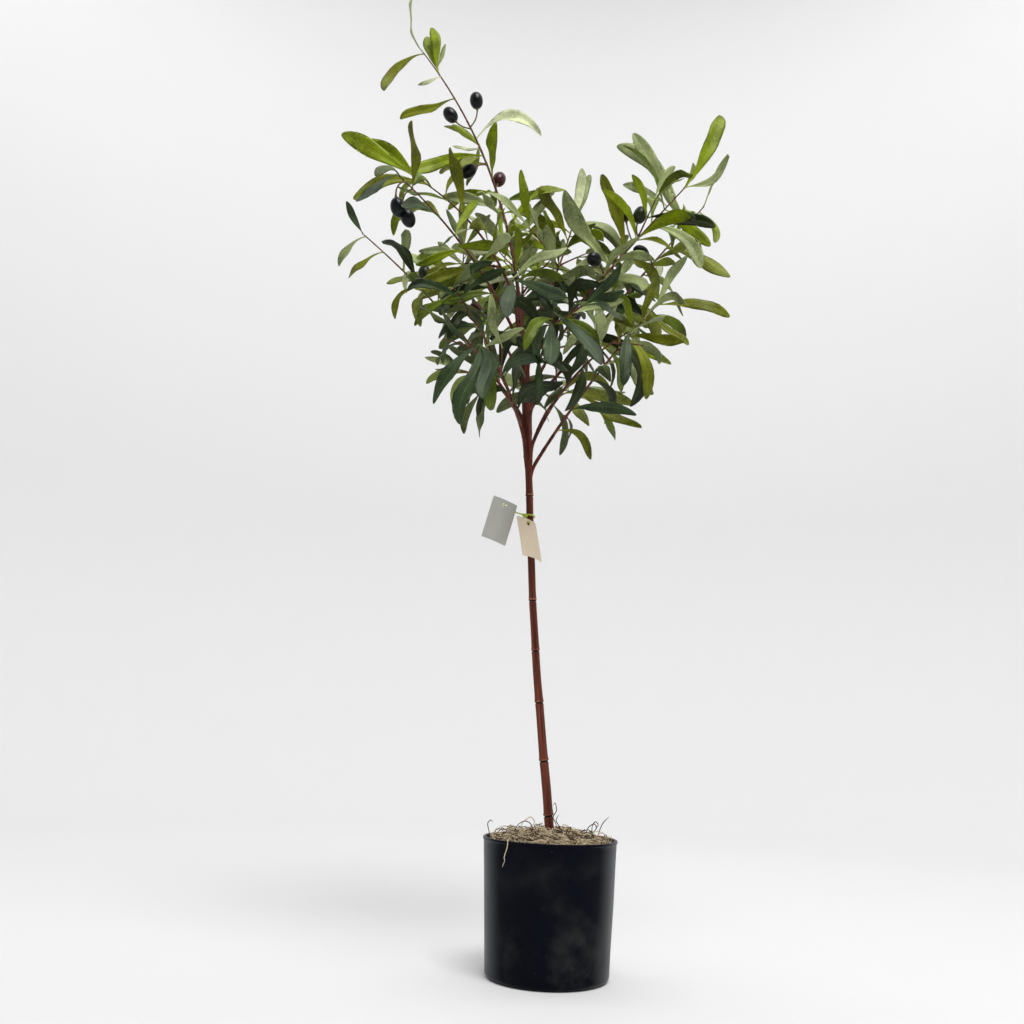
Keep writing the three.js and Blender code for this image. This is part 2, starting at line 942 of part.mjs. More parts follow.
// Solids of the limbs and masses
function trunkSolid(grow) {
  const rings = evenStations(TRUNK.foot - 6, TRUNK.fork + grow, TRUNK.ringStep);
  const [under, above] = COLLAR_ROOM;
  const nearJoint = (z) => TRUNK.joints.some((joint) => z > joint - under && z < joint + above);
  const stations = rings.filter((z) => !nearJoint(z));
  const collar = new Map();
  for (const joint of TRUNK.joints) {
    for (const [offset, swell] of COLLAR) collar.set(joint + offset, swell);
  }
  stations.push(...collar.keys());
  stations.sort((a, b) => a - b);
  const placeAt = (z) => {
    const point = trunkPoint(z);
    const ahead = trunkPoint(z + 1).sub(trunkPoint(z - 1)).normalize();
    const side = ahead.clone().cross(BACK).normalize();
    return { point, side, over: side.clone().cross(ahead) };
  };
  const radiusAt = (z) => trunkRadius(z) * (collar.get(z) ?? 1) + grow;
  const below = new THREE.BoxGeometry(60, 60, 40).translate(0, 0, TRUNK.foot - 20 - grow);
  return sweep(stations, placeAt, radiusAt, TRUNK.sides).subtract(solidOf(below));
}

function limbSolid(spray, from, to, sides, step, grow) {
  return sweep(
    evenStations(from, to, step),
    (distance) => placeOn(spray.line, distance),
    (distance) => stemRadius(spray, distance) + grow,
    sides,
  );
}

function boughSolid(spray, cutters) {
  let solid = limbSolid(spray, 0, spray.bare, LIMB.sides, LIMB.boughRing, 0);
  for (const cutter of cutters) solid = solid.subtract(cutter);
  return largestBody(solid);
}

function oliveSolids({ arc, centre, ahead, side, over }) {
  const stalk = sweep([0, 0.5, 1.1], (t) => leafPlace(arc, t), () => OLIVE.stalk, 3);
  const fruit = new THREE.SphereGeometry(1, OLIVE.rounds, OLIVE.rings);
  fruit.scale(OLIVE.radius, OLIVE.half, OLIVE.radius);
  fruit.applyMatrix4(new THREE.Matrix4().makeBasis(side, ahead, over).setPosition(centre));
  return [stalk, solidOf(fruit)];
}

function massSolid(spray) {
  const start = spray.bare + CLEAR.face;
  const pieces = [limbSolid(spray, start, spray.length + 1, LIMB.sides, LIMB.stemRing, 0)];
  for (const arc of spray.shoots) {
    const taper = (t) => mix(SHOOT.radius, SHOOT.tipRadius, t);
    pieces.push(sweep([0, 0.5, 1.03], (t) => leafPlace(arc, t), taper, SHOOT.sides));
  }
  for (const leaf of spray.leaves) pieces.push(leafSolid(leaf));
  for (const olive of spray.fruit) pieces.push(...oliveSolids(olive));
  return largestBody(wasm.Manifold.union(pieces));
}

// Pot: a turned thin shell with a proud lip, a rounded foot and a flat rest
function potSolid() {
  const { height, rimRadius, footRadius, wall, floor, lipDepth, lipProud, footCorner } = POT;
  const underLip = rimRadius - lipProud;
  const outline = [new THREE.Vector2(0, 0), new THREE.Vector2(footRadius - footCorner, 0)];
  for (const angle of [30, 60, 90])
    outline.push(
      new THREE.Vector2(
        footRadius - footCorner + footCorner * Math.sin(radians(angle)),
        footCorner - footCorner * Math.cos(radians(angle)),
      ),
    );
  outline.push(
    new THREE.Vector2(underLip, height - lipDepth),
    new THREE.Vector2(rimRadius, height - lipDepth + 1),
    new THREE.Vector2(rimRadius, height - 1),
    new THREE.Vector2(rimRadius - 1, height),
    new THREE.Vector2(underLip - wall, height),
    new THREE.Vector2(footRadius - wall, footCorner),
    new THREE.Vector2(footRadius - footCorner, floor),
    new THREE.Vector2(0, floor),
  );
  return solidOf(new THREE.LatheGeometry(outline, POT.sides).rotateX(Math.PI / 2));
}

// Fill: a plug clear of the pot's wall and floor, its top mounded and uneven
function fillSolid() {
  const underLip = POT.rimRadius - POT.lipProud;
  const fillRadius = (z) => {
    const rise = (z - POT.footCorner) / (POT.height - POT.footCorner);
    return mix(POT.footRadius, underLip, rise) - POT.wall - FILL.clear;
  };
  const corner = POT.footRadius - POT.footCorner - 1;
  const bottom = POT.floor + CLEAR.face;
  const outline = [
    new THREE.Vector2(0, bottom),
    new THREE.Vector2(corner, bottom),
    new THREE.Vector2(fillRadius(FILL.bottom), FILL.bottom),
    new THREE.Vector2(fillRadius(FILL.edge), FILL.edge),
  ];
  for (let i = 1; i <= FILL.rings; i++) {
    const share = i / FILL.rings;
    const height = mix(FILL.edge, FILL.crown, Math.sin((Math.PI / 2) * share));
    outline.push(new THREE.Vector2(mix(fillRadius(FILL.edge), FILL.flat, share), height));
  }
  outline.push(new THREE.Vector2(0, FILL.crown));
  const geometry = new THREE.LatheGeometry(outline, FILL.sides).rotateX(Math.PI / 2);
  const merged = mergeVertices(geometry.deleteAttribute("uv").deleteAttribute("normal"));
  const position = merged.getAttribute("position");
  const draw = drawsFrom(FILL.seed);
  for (let i = 0; i < position.count; i++) {
    const radius = Math.hypot(position.getX(i), position.getY(i));
    const onTop = position.getZ(i) > FILL.edge + 0.5 && radius > FILL.flat + 1;
    if (onTop) position.setZ(i, position.getZ(i) + mix(...FILL.bump, draw()));
  }
  return solidOf(merged);
}

// Tie and tags: a thin wire once round the trunk, its two ends led forward, each through a tag's hole
function tieLine() {
  const centre = trunkPoint(TIE.height);
  const radius = trunkRadius(TIE.height) + TIE.clear + TIE.wire;
  const [leftHole, rightHole] = TAGS.map(({ wire }) => new THREE.Vector3(...wire));
  const offset = (hole, step) => hole.clone().add(new THREE.Vector3(...step));
  const points = [offset(leftHole, TIE.leftEnd), leftHole];
  for (const step of TIE.leftLead) points.push(offset(leftHole, step));
  for (let i = 0; i <= TIE.points; i++) {
    const angle = radians(TIE.from + (TIE.turn * i) / TIE.points);
    points.push(
      new THREE.Vector3(
        centre.x + radius * Math.cos(angle),
        centre.y + radius * Math.sin(angle),
        centre.z - TIE.pitch * (i / TIE.points - 0.5),
      ),
    );
  }
  for (const step of TIE.rightLead) points.push(offset(rightHole, step));
  points.push(rightHole, offset(rightHole, TIE.rightEnd));
  return new THREE.CatmullRomCurve3(points);
}

function tieSolid() {
  const section = new THREE.Shape().absarc(0, 0, TIE.wire, 0, 2 * Math.PI);
  const settings = { curveSegments: 3, steps: TIE.steps, bevelEnabled: false, extrudePath: tieLine() };
  return solidOf(new THREE.ExtrudeGeometry(section, settings));
}

// A blank card with round corners, hanging from the upper edge of its punched hole
function tagSolid() {
  const { width, length, corner, hole, holeDown, thick } = TAG;
  const card = new THREE.Shape();
  const [left, right] = [-width / 2, width / 2];
  const [top, bottom] = [holeDown, holeDown - length];
  card.moveTo(left + corner, bottom);
  card.lineTo(right - corner, bottom);
  card.quadraticCurveTo(right, bottom, right, bottom + corner);
  card.lineTo(right, top - corner);
  card.quadraticCurveTo(right, top, right - corner, top);
  card.lineTo(left + corner, top);
  card.quadraticCurveTo(left, top, left, top - corner);
  card.lineTo(left, bottom + corner);
  card.quadraticCurveTo(left, bottom, left + corner, bottom);
  card.holes.push(new THREE.Path().absarc(0, 0, hole, 0, 2 * Math.PI, true));
  const geometry = new THREE.ExtrudeGeometry(card, { depth: thick, bevelEnabled: false, curveSegments: 4 });
  return solidOf(geometry.translate(0, 0, -thick / 2).rotateX(Math.PI / 2));
}

function tagMesh({ name, wire, pitch, tilt, yaw, colour }) {
  const mesh = meshOf(name, tagSolid(), COLOUR[colour], 0.8);
  const hang = TAG.hole - TIE.wire - CLEAR.face;
  mesh.position.set(wire[0], wire[1], wire[2] - hang);
  mesh.rotation.set(radians(pitch), radians(tilt), radians(yaw), "ZYX");
  return mesh;
}

const tree = new THREE.Group();
const sprays = growSprays();

tree.add(meshOf("pot", potSolid(), COLOUR.pot, 0.6));
tree.add(meshOf("moss_fill", fillSolid(), COLOUR.moss, 0.95));
tree.add(meshOf("trunk", trunkSolid(0), COLOUR.bark, 0.45));

const boughCutters = [trunkSolid(CLEAR.face)];
for (const spray of sprays) {
  if (spray.bare > 0) {
    tree.add(meshOf("bough_" + spray.name, boughSolid(spray, boughCutters), COLOUR.bark, 0.45));
    const reach = spray.bare + CLEAR.face;
    boughCutters.push(limbSolid(spray, 0, reach, LIMB.sides, LIMB.boughRing, CLEAR.face));
  }
  tree.add(meshOf("foliage_" + spray.name, massSolid(spray), COLOUR.leaf, 0.6));
}

tree.add(meshOf("tie", tieSolid(), COLOUR.tie, 0.5));
for (const tag of TAGS) tree.add(tagMesh(tag));

export default tree;
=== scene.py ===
# The artificial olive tree's looks: pot, dry moss, cane, boughs, leafy twigs, olives, tie and hang tags.
# Metres, +Z up, front towards -Y. The growing rule works in millimetres, and MM turns them into metres.
import functools
import math
from collections import namedtuple

import bpy
import numpy as np
from mathutils import Matrix, Vector


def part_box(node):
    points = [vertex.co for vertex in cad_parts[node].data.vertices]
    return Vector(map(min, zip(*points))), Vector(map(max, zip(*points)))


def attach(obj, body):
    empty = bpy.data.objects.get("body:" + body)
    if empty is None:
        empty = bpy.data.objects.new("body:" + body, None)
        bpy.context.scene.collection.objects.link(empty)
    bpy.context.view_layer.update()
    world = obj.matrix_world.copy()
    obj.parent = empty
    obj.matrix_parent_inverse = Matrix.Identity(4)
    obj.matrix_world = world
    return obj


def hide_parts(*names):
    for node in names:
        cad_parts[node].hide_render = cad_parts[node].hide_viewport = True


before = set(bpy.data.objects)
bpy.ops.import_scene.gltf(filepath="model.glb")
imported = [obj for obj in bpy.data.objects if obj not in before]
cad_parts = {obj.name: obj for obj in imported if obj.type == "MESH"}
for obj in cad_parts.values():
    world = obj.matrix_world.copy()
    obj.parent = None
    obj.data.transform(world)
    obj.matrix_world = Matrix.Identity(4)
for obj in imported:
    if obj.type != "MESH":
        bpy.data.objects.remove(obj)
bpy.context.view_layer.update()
MM = 0.001

bl_info = {
    "name": "Artificial Olive Tree",
    "version": (1, 0, 0),
    "blender": (4, 5, 0),
    "location": "View3D > Sidebar > Olive Tree",
    "description": "Grows the leafy crown and dresses the cane, the pot, the moss and the tags",
    "category": "Add Mesh",
}

# Cane: a slim moulded trunk with joint rings, millimetres as in the part's source
FOOT, FORK, FOOT_X = 120, 640, -2
LEAN, SWAY, SWAY_LENGTH, SWAY_PHASE, DEPTH_SWAY = 5.02, 2.2, 480, 0.63, 1.5
FOOT_RADIUS, CANE_RADIUS, CANE_SLIM_BY = 4.1, 3.4, 350
BUNDLE_RADIUS, TIP_RADIUS, TIP_FROM = 2.3, 2.3, 590
JOINTS = (134.5, 182, 234, 281, 327.5, 428)

# Limbs: root and tip radius, how they taper, and the step of their centre lines
LIMB_ROOT, LIMB_TIP, LIMB_TAPER, LIMB_STEP = 2.5, 0.85, 0.8, 5
LIMB_TEST_STEP = 15

# Leaves, shoots and olives of the growing rule
LEAF_LONGEST, LEAF_SHORTEST, LEAF_OUTER = 88, 52, 0.25
LEAF_SLENDER, LEAF_SKEW, LEAF_FULLNESS = 0.2, 1.15, 0.8
NODE_STEP, NODE_JITTER, NODE_START, NODE_TURN = 20, (0.85, 1.15), 12, (110, 160)
LEAF_SPLAY, LEAF_DROOP, LOW_DROOP, LOW_RISE = (34, 66), (14, 74), 52, 320
FACING_OUT, FACING_UP, FACING_JITTER, FRONT_HALF = 0.5, 0.1, 32, 18
SHOOT_LENGTH, SHOOT_BEND, SHOOT_SPLAY, SHOOT_RADIUS = (34, 56), (-20, 30), (36, 58), 1.1
SHOOT_LEAVES, SHOOT_PAIR_AT, SHOOT_LEAF = 5, 0.55, (42, 60)
SHOOT_LEAF_SPLAY, SHOOT_END_SPLAY, SHOOT_LEAF_TURN = (30, 52), 8, 40
SHOOT_LEAF_ROLL, SHOOT_LEAF_DROOP = (-30, 30), (10, 60)
OLIVE_RADIUS, OLIVE_HALF, OLIVE_STALK, OLIVE_SPLAY, OLIVE_SEAT = 7, 9.5, 1.1, 62, 0.9
CLEAR_OTHERS, CLEAR_OWN = 3, 1.7
TURNS, SHORTER = (0, 28, -28, 56, -56, 90, -90), 0.03
RAIL_STATIONS, RAILS = (0.04, 0.3, 0.5, 0.75, 1), (-1, -0.5, 0, 0.5, 1)
MOST_THINGS = 4096

# The crown's own limits: its roof is a valley between a tall left side and the right side, and its
# underside a level foot that rises by a slope past each hip
CROWN_FOOT, CROWN_LEFT, CROWN_RIGHT, CROWN_DEPTH, CROWN_ROOF = 484, -215, 152, 172, 800
LEFT_SHOULDER, LEFT_SLOPE, RIGHT_SHOULDER, RIGHT_SLOPE, CROWN_FALL = -60, 1.5, 80, 0.6, 0.4
LEFT_HIP, LEFT_RISE, RIGHT_HIP, RIGHT_RISE, DEPTH_HIP, DEPTH_RISE = -92, 2, 60, 1.6, 80, 1.4

# Sprays: rise, heading, lean at the root and the end, bare stretch, length, seed, share of leaf pairs,
# share of side shoots, how far back from the end only the named leaves grow, and the mood of the rest.
# tip lists the named leaves: how far back, splay, turn round the stem, length, droop, tint and roll.
# olives lists distance along the limb, turn round it, the stalk's droop, its length and a colour.
Spray = namedtuple(
    "Spray", "name rise heading lean bare length seed pairs branching tip_zone mood tip olives"
)
SPRAYS = (
    Spray(
        "leader", 640, 172, (8, 36), 0, 312, 11, 0.1, 0, 142, "sunny",
        [
            (0, 2, 270, 76, -60, "grey", 60),
            (4, 58, 270, 70, 96, "olive", 10),
            (36, 20, 60, 64, -6, "fresh", -20),
            (30, 56, 100, 32, -10, "grey"),
            (40, 70, 262, 26, 30, "pale", 20),
            (72, 74, 270, 62, 24, "olive", 20),
            (128, 60, 92, 80, 92, "pale"),
            (150, 56, 270, 86, 56, "fresh", 10),
            (116, 14, 120, 40, 4, "olive"),
            (212, 62, 84, 60, 60, "mid", -30),
            (222, 70, 70, 66, 110, "olive", -45),
        ],
        [
            (200, 75, -45, 26, "black"),
            (198, 262, -50, 20, "black"),
            (150, 250, 50, 14, "black"),
            (122, 20, -30, 12, "brown"),
        ],
    ),
    Spray(
        "left_high", 600, 188, (11, 63), 46, 202, 12, 0.5, 0.12, 20, "sunny",
        [
            (0, 6, 90, 88, 12, "fresh"),
            (6, 18, 76, 76, 20, "fresh"),
            (16, 22, 270, 82, 52, "olive"),
        ],
        [],
    ),
    Spray(
        "left_low", 500, 176, (33, 49), 96, 270, 13, 0.2, 0.08, 60, "mixed",
        [
            (0, 20, 90, 40, 0, "deep"),
            (4, 62, 270, 44, 60, "grey"),
            (30, 60, 270, 48, 60, "olive"),
            (60, 50, 90, 48, -8, "olive"),
            (84, 70, 270, 44, 50, "olive"),
        ],
        [(176, 84, -30, 12, "green")],
    ),
    Spray(
        "right_high", 560, -5, (38, 40), 62, 253, 14, 0.4, 0.14, 30, "mixed",
        [
            (0, 4, 90, 98, -26, "fresh"),
            (16, 62, 90, 92, 44, "grey", 45),
            (24, 60, 80, 84, 22, "grey", 45),
            (4, 20, 120, 42, 10, "olive"),
            (30, 80, 90, 56, 30, "grey", 30),
            (55, 78, 285, 84, 40, "grey", -20),
            (119, 74, 66, 90, 10, "grey", 20),
        ],
        [(178, 84, -40, 18, "green"), (170, 104, -16, 30, "black"), (124, 50, 60, 20, "black")],
    ),
    Spray(
        "right_back", 512, 14, (35, 38), 92, 318, 15, 0.1, 0, 12, "sunny",
        [
            (0, 16, 90, 76, -14, "olive", 60),
            (8, 80, 270, 46, 60, "fresh"),
            (70, 56, 290, 78, 44, "olive"),
            (34, 64, 80, 56, 20, "grey"),
        ],
        [(222, 80, 50, 10, "black")],
    ),
    Spray(
        "right_low", 450, -10, (29, 42), 46, 211, 16, 0.4, 0.2, 12, "sunny",
        [
            (0, 46, 268, 72, 20, "olive"),
            (4, 12, 90, 58, -8, "grey"),
            (12, 84, 270, 50, 30, "olive"),
            (44, 50, 300, 66, 50, "olive"),
            (120, 70, 270, 68, 46, "olive"),
            (160, 60, 280, 50, 70, "olive"),
        ],
        [],
    ),
    Spray(
        "left_olive", 575, 206, (27, 59), 58, 212, 17, 0.4, 0.2, 12, "mixed",
        [
            (0, 60, 270, 60, 50, "deep"),
            (6, 50, 200, 62, 60, "deep"),
        ],
        [(202, 250, 80, 26, "black"), (192, 266, 90, 28, "black")],
    ),
    Spray(
        "crown_top", 585, 20, (26, 14), 44, 150, 18, 0.5, 0.2, 12, "sunny",
        [
            (0, 6, 270, 68, -6, "grey"),
            (10, 60, 100, 58, 50, "olive", 50),
            (14, 66, 262, 60, 40, "mid", -25),
        ],
        [(92, 200, 40, 22)],
    ),
    Spray(
        "left_fork", 470, 200, (16, 40), 44, 180, 19, 0.5, 0.24, 12, "shade",
        [
            (0, 80, 170, 80, 70, "deep"),
            (6, 60, 90, 50, 60, "deep"),
            (12, 58, 300, 56, 60, "mid"),
            (130, 80, 130, 50, 30, "deep"),
        ],
        [],
    ),
    Spray(
        "right_front", 470, -44, (26, 78), 46, 160, 20, 0.5, 0.24, 12, "shade",
        [
            (0, 80, 320, 72, 60, "deep"),
            (8, 60, 240, 68, 60, "olive"),
            (30, 70, 250, 52, 50, "mid"),
        ],
        [],
    ),
    Spray(
        "front_left", 466, 240, (26, 74), 34, 130, 21, 0.5, 0.3, 12, "shade",
        [
            (0, 70, 307, 70, 24, "deep"),
            (2, 66, 255, 90, 24, "deep"),
            (6, 72, 166, 42, 20, "grey"),
        ],
        [],
    ),
    Spray(
        "front_right", 494, 282, (26, 70), 36, 128, 22, 0.5, 0.3, 12, "shade",
        [
            (0, 72, 236, 78, 30, "deep"),
            (12, 62, 254, 84, 40, "deep"),
            (8, 60, 318, 62, 50, "mid"),
        ],
        [],
    ),
    Spray(
        "front_high", 535, 258, (24, 66), 32, 116, 23, 0.5, 0.2, 12, "mixed",
        [
            (0, 70, 149, 58, 8, "grey"),
            (2, 74, 208, 78, 26, "deep"),
            (4, 58, 262, 84, 30, "deep"),
        ],
        [],
    ),
    Spray(
        "back_right", 520, 52, (26, 50), 78, 248, 24, 0.4, 0.2, 12, "sunny",
        [(0, 12, 90, 78, 20), (8, 42, 200, 70, 50), (14, 42, 340, 72, 50)],
        [(186, 180, 60, 22), (176, 20, 70, 22)],
    ),
    Spray(
        "back_left", 532, 128, (26, 56), 76, 244, 25, 0.4, 0.2, 12, "mixed",
        [(0, 12, 90, 76, 20), (8, 42, 190, 72, 50), (14, 44, 350, 70, 50)],
        [(190, 0, 70, 22)],
    ),
    Spray(
        "back_high", 592, 92, (16, 58), 52, 166, 26, 0.4, 0.2, 12, "sunny",
        [(0, 10, 90, 74, 30), (8, 40, 190, 70, 50), (14, 40, 350, 72, 50)],
        [(118, 10, 60, 22), (108, 170, 70, 22)],
    ),
    Spray(
        "back_low_right", 466, 68, (28, 70), 68, 178, 27, 0.5, 0.24, 12, "mixed",
        [(0, 22, 250, 66, 40), (8, 46, 20, 62, 50), (12, 46, 160, 62, 50)],
        [],
    ),
    Spray(
        "back_low_left", 480, 118, (28, 72), 68, 186, 28, 0.5, 0.2, 12, "shade",
        [(0, 22, 260, 64, 40), (8, 46, 20, 60, 50), (12, 46, 170, 62, 50)],
        [],
    ),
)

# Finer growth: closer leaves between the first ones and twiglets of their own, dense in the crown's core
FINER_SEED, FINER_STEP, FINER_LEAF, FINER_CLEAR = 500, 17, (44, 78), 0.8
TWIGLET_SHARE, TWIGLET_TURN = 0.06, 60
CORE_CENTRE, CORE_FULL, CORE_GONE, CORE_REST = (-8, 0, 650), 20, 120, 0.03
# Named leaves of the finer growth, listed as a spray's tip is
FINER_TIPS = {
    "leader": [(34, 20, 115, 58, -14, "fresh", -10), (196, 66, 250, 58, 40, "fresh", 20)],
    "left_high": [(40, 60, 90, 66, 50, "olive", 10)],
    "right_high": [(95, 55, 75, 80, 10, "olive", 20), (2, 40, 270, 54, -30, "grey", 10)],
    "crown_top": [(0, 10, 90, 72, -14, "pale", 30), (20, 44, 80, 64, 30, "olive", 20)],
    "front_left": [(1, 72, 235, 88, 20, "deep")],
}

UP = np.array([0.0, 0.0, 1.0])
DOWN = -UP
BACK = np.array([0.0, 1.0, 0.0])
Place = namedtuple("Place", "point ahead side over")


def mix(a, b, share):
    return a + (b - a) * share


def smooth(start, end, value):
    share = np.clip((value - start) / (end - start), 0, 1)
    return share * share * (3 - 2 * share)


def unit(vector):
    return vector / np.linalg.norm(vector)


def draws_from(seed):
    """Seeded draws between 0 and 1, the same in every run."""
    state = seed * 7919 + 104729

    def draw():
        nonlocal state
        state = state * 16807 % 2147483647
        return state / 2147483647

    draw()
    draw()
    return draw


def trunk_point(z):
    """The middle of the cane at a height."""
    rise = z - FOOT
    wave = 2 * math.pi * (rise / SWAY_LENGTH - SWAY_PHASE)
    x = FOOT_X - math.tan(math.radians(LEAN)) * rise + SWAY * math.sin(wave)
    return np.array([x, DEPTH_SWAY * math.sin(2 * math.pi * rise / SWAY_LENGTH), z])


def off_cane(point):
    """How far a point stands from the middle of the cane at its own height."""
    return np.linalg.norm(point - trunk_point(point[2]))


class Line:
    """A limb's centre line: points at even steps, with the direction ahead at each."""

    def __init__(self, start, heading, lean, length):
        count = math.ceil(length / LIMB_STEP)
        self.step = length / count
        azimuth = math.radians(heading)
        self.points, self.ahead = [start], []
        for i in range(count + 1):
            angle = math.radians(mix(lean[0], lean[1], min(i + 0.5, count) / count))
            flat = math.sin(angle)
            ahead = np.array([flat * math.cos(azimuth), flat * math.sin(azimuth), math.cos(angle)])
            self.ahead.append(ahead)
            if i < count:
                self.points.append(self.points[i] + ahead * self.step)

    def place(self, distance):
        index = min(len(self.points) - 2, max(0, math.floor(distance / self.step)))
        share = distance / self.step - index
        point = mix(self.points[index], self.points[index + 1], share)
        ahead = unit(mix(self.ahead[index], self.ahead[index + 1], share))
        side = unit(np.cross(ahead, UP))
        return Place(point, ahead, side, np.cross(side, ahead))

    def stretch(self, start, end):
        count = max(1, round((end - start) / LIMB_TEST_STEP))
        return np.array([self.place(mix(start, end, i / count)).point for i in range(count + 1)])


class Arc:
    """A circular arc that leaves its root along out and bends down by droop, with a rolled blade."""

    def __init__(self, root, out, length, droop, roll=0.0, width=0.0):
        self.root, self.out, self.length, self.width = root, out, length, width
        self.droop, self.roll = math.radians(droop), math.radians(roll)
        fall = unit(DOWN - out * DOWN.dot(out))
        self.fall, self.flat = fall, unit(np.cross(fall, out))

    def place(self, t):
        t = np.asarray(t, float)[..., None]
        turned = self.droop * t
        if abs(self.droop) < 1e-3:
            along, aside = t, 0 * t
        else:
            along, aside = np.sin(turned) / self.droop, (1 - np.cos(turned)) / self.droop
        point = self.root + (self.out * along + self.fall * aside) * self.length
        ahead = self.out * np.cos(turned) + self.fall * np.sin(turned)
        above = np.cross(self.flat, ahead)
        side = self.flat * math.cos(self.roll) + above * math.sin(self.roll)
        return Place(point, ahead, side, np.cross(side, ahead))


def leaf_half_width(leaf, t):
    """Half the blade's width at a share of its length: narrow at the root, widest past the middle."""
    t = np.clip(t, 0, 1)
    return leaf.width / 2 * np.sin(np.pi * t**LEAF_SKEW).clip(0) ** LEAF_FULLNESS


def facing_roll(root, out):
    """The roll that turns a blade's upper face outwards, to the front on the front half."""
    outward = root - trunk_point(root[2])
    reach = np.linalg.norm(outward)
    if reach > 1:
        outward = outward / reach
    target = outward * FACING_OUT + UP * FACING_UP
    target[1] += -1 if root[1] < FRONT_HALF else 1
    fall = unit(DOWN - out * DOWN.dot(out))
    flat = unit(np.cross(fall, out))
    return math.degrees(math.atan2(-target.dot(flat), target.dot(np.cross(flat, out))))


def out_from(place, splay, around):
    """The direction that leans away from a limb by splay, at a turn round it."""
    opening, turn = math.radians(splay), math.radians(around)
    across = place.side * math.cos(turn) + place.over * math.sin(turn)
    return place.ahead * math.cos(opening) + across * math.sin(opening)


def nearest(p, q, r, s):
    """Distances between the segments p to q and the segments r to s, all against all."""
    d1, d2, w = (q - p)[:, None], (s - r)[None], p[:, None] - r[None]
    a, e, f = (d1 * d1).sum(-1), (d2 * d2).sum(-1), (d2 * w).sum(-1)
    b, c = (d1 * d2).sum(-1), (d1 * w).sum(-1)
    spread = a * e - b * b
    apart = spread > 1e-9
    m = np.where(apart, np.clip((b * f - c * e) / np.where(apart, spread, 1), 0, 1), 0)
    n = np.clip((b * m + f) / e, 0, 1)
    m = np.clip((b * n - c) / a, 0, 1)
    return np.linalg.norm(w + d1 * m[..., None] - d2 * n[..., None], axis=-1)


def segments(lines):
    """The starts and the ends of all segments of some lines."""
    return np.concatenate([line[:-1] for line in lines]), np.concatenate([line[1:] for line in lines])


class Thing:
    """Something grown, as straight segments with a radius. A rooted one leaves its first stretch out
    of the test against its own mass."""

    def __init__(self, mass, lines, radius, rooted=False):
        points = np.concatenate(lines)
        self.mass, self.radius = mass, radius
        self.centre = (points.min(0) + points.max(0)) / 2
        self.reach = np.linalg.norm(points - self.centre, axis=1).max()
        self.segments = segments(lines)
        self.outer = segments([line[1:] for line in lines]) if rooted else self.segments


def leaf_thing(mass, leaf):
    """A leaf, for the test, as a few lines along its blade."""
    t = np.array(RAIL_STATIONS)
    place = leaf.place(t)
    half = leaf_half_width(leaf, t)[:, None]
    return Thing(mass, [place.point + place.side * rail * half for rail in RAILS], 0, True)


def inside_crown(thing):
    """Whether all of a thing lies within the crown's own limits."""
    x, y, z = thing.segments[1].T
    rise = LEFT_SLOPE * np.maximum(0, LEFT_SHOULDER - x) + RIGHT_SLOPE * np.maximum(0, x - RIGHT_SHOULDER)
    roof = CROWN_ROOF + rise - CROWN_FALL * abs(y)
    lift = LEFT_RISE * np.maximum(0, LEFT_HIP - x) + RIGHT_RISE * np.maximum(0, x - RIGHT_HIP)
    floor = CROWN_FOOT + lift + DEPTH_RISE * np.maximum(0, abs(y) - DEPTH_HIP)
    in_plan = (x > CROWN_LEFT) & (x < CROWN_RIGHT) & (abs(y) < CROWN_DEPTH)
    return bool((in_plan & (z > floor) & (z < roof)).all())


class Growth:
    """What has grown so far, and the test that keeps each new thing clear of it."""

    def __init__(self):
        self.placed = []
        self.table = np.zeros((MOST_THINGS, 6))
        self.clear_others, self.clear_own = CLEAR_OTHERS, CLEAR_OWN

    def add(self, thing):
        self.table[len(self.placed)] = (*thing.centre, thing.reach, thing.radius, thing.mass)
        self.placed.append(thing)

    def is_clear(self, thing):
        table = self.table[: len(self.placed)]
        own = table[:, 5] == thing.mass
        gap = np.where(own, self.clear_own, self.clear_others) + table[:, 4] + thing.radius
        away = np.linalg.norm(table[:, :3] - thing.centre, axis=1)
        near = away <= thing.reach + table[:, 3] + gap
        for mine, starts in ((near & own, thing.outer), (near & ~own, thing.segments)):
            chosen = np.flatnonzero(mine)
            if not len(chosen):
                continue
            others = [self.placed[i].segments for i in chosen]
            gaps = np.repeat(gap[chosen], [len(other[0]) for other in others])
            ends = [np.concatenate([other[k] for other in others]) for k in (0, 1)]
            if (nearest(*starts, *ends) < gaps).any():
                return False
        return True


class Grown:
    """One spray as it has grown: its centre line, leaves, shoots and olives."""

    def __init__(self, number, spray):
        self.number, self.spray = number, spray
        self.line = Line(trunk_point(spray.rise), spray.heading, spray.lean, spray.length)
        self.leaves, self.shoots, self.olives = [], [], []


def offer_leaf(growth, grown, place, splay, around, length, roll, droop, tint=None):
    """Offers a leaf at several turns round its stem, shorter each time, and skips it if none is clear.
    A leaf with a tint is a named one, which may leave the crown's limits."""
    for attempt, turn in enumerate(TURNS):
        size = length * (1 - SHORTER * attempt)
        out = out_from(place, splay, around + turn)
        turned = facing_roll(place.point, out) + roll
        leaf = Arc(place.point, out, size, droop, turned, size * LEAF_SLENDER)
        thing = leaf_thing(grown.number, leaf)
        if (tint or inside_crown(thing)) and growth.is_clear(thing):
            growth.add(thing)
            leaf.tint = tint
            grown.leaves.append(leaf)
            return True
    return False


def offer_named(growth, grown, back, splay, around, length, droop, tint="drawn", roll=0):
    """Offers one named leaf, some way back from the end of its spray."""
    place = grown.line.place(grown.spray.length - back)
    offer_leaf(growth, grown, place, splay, around, length, roll, droop, tint)


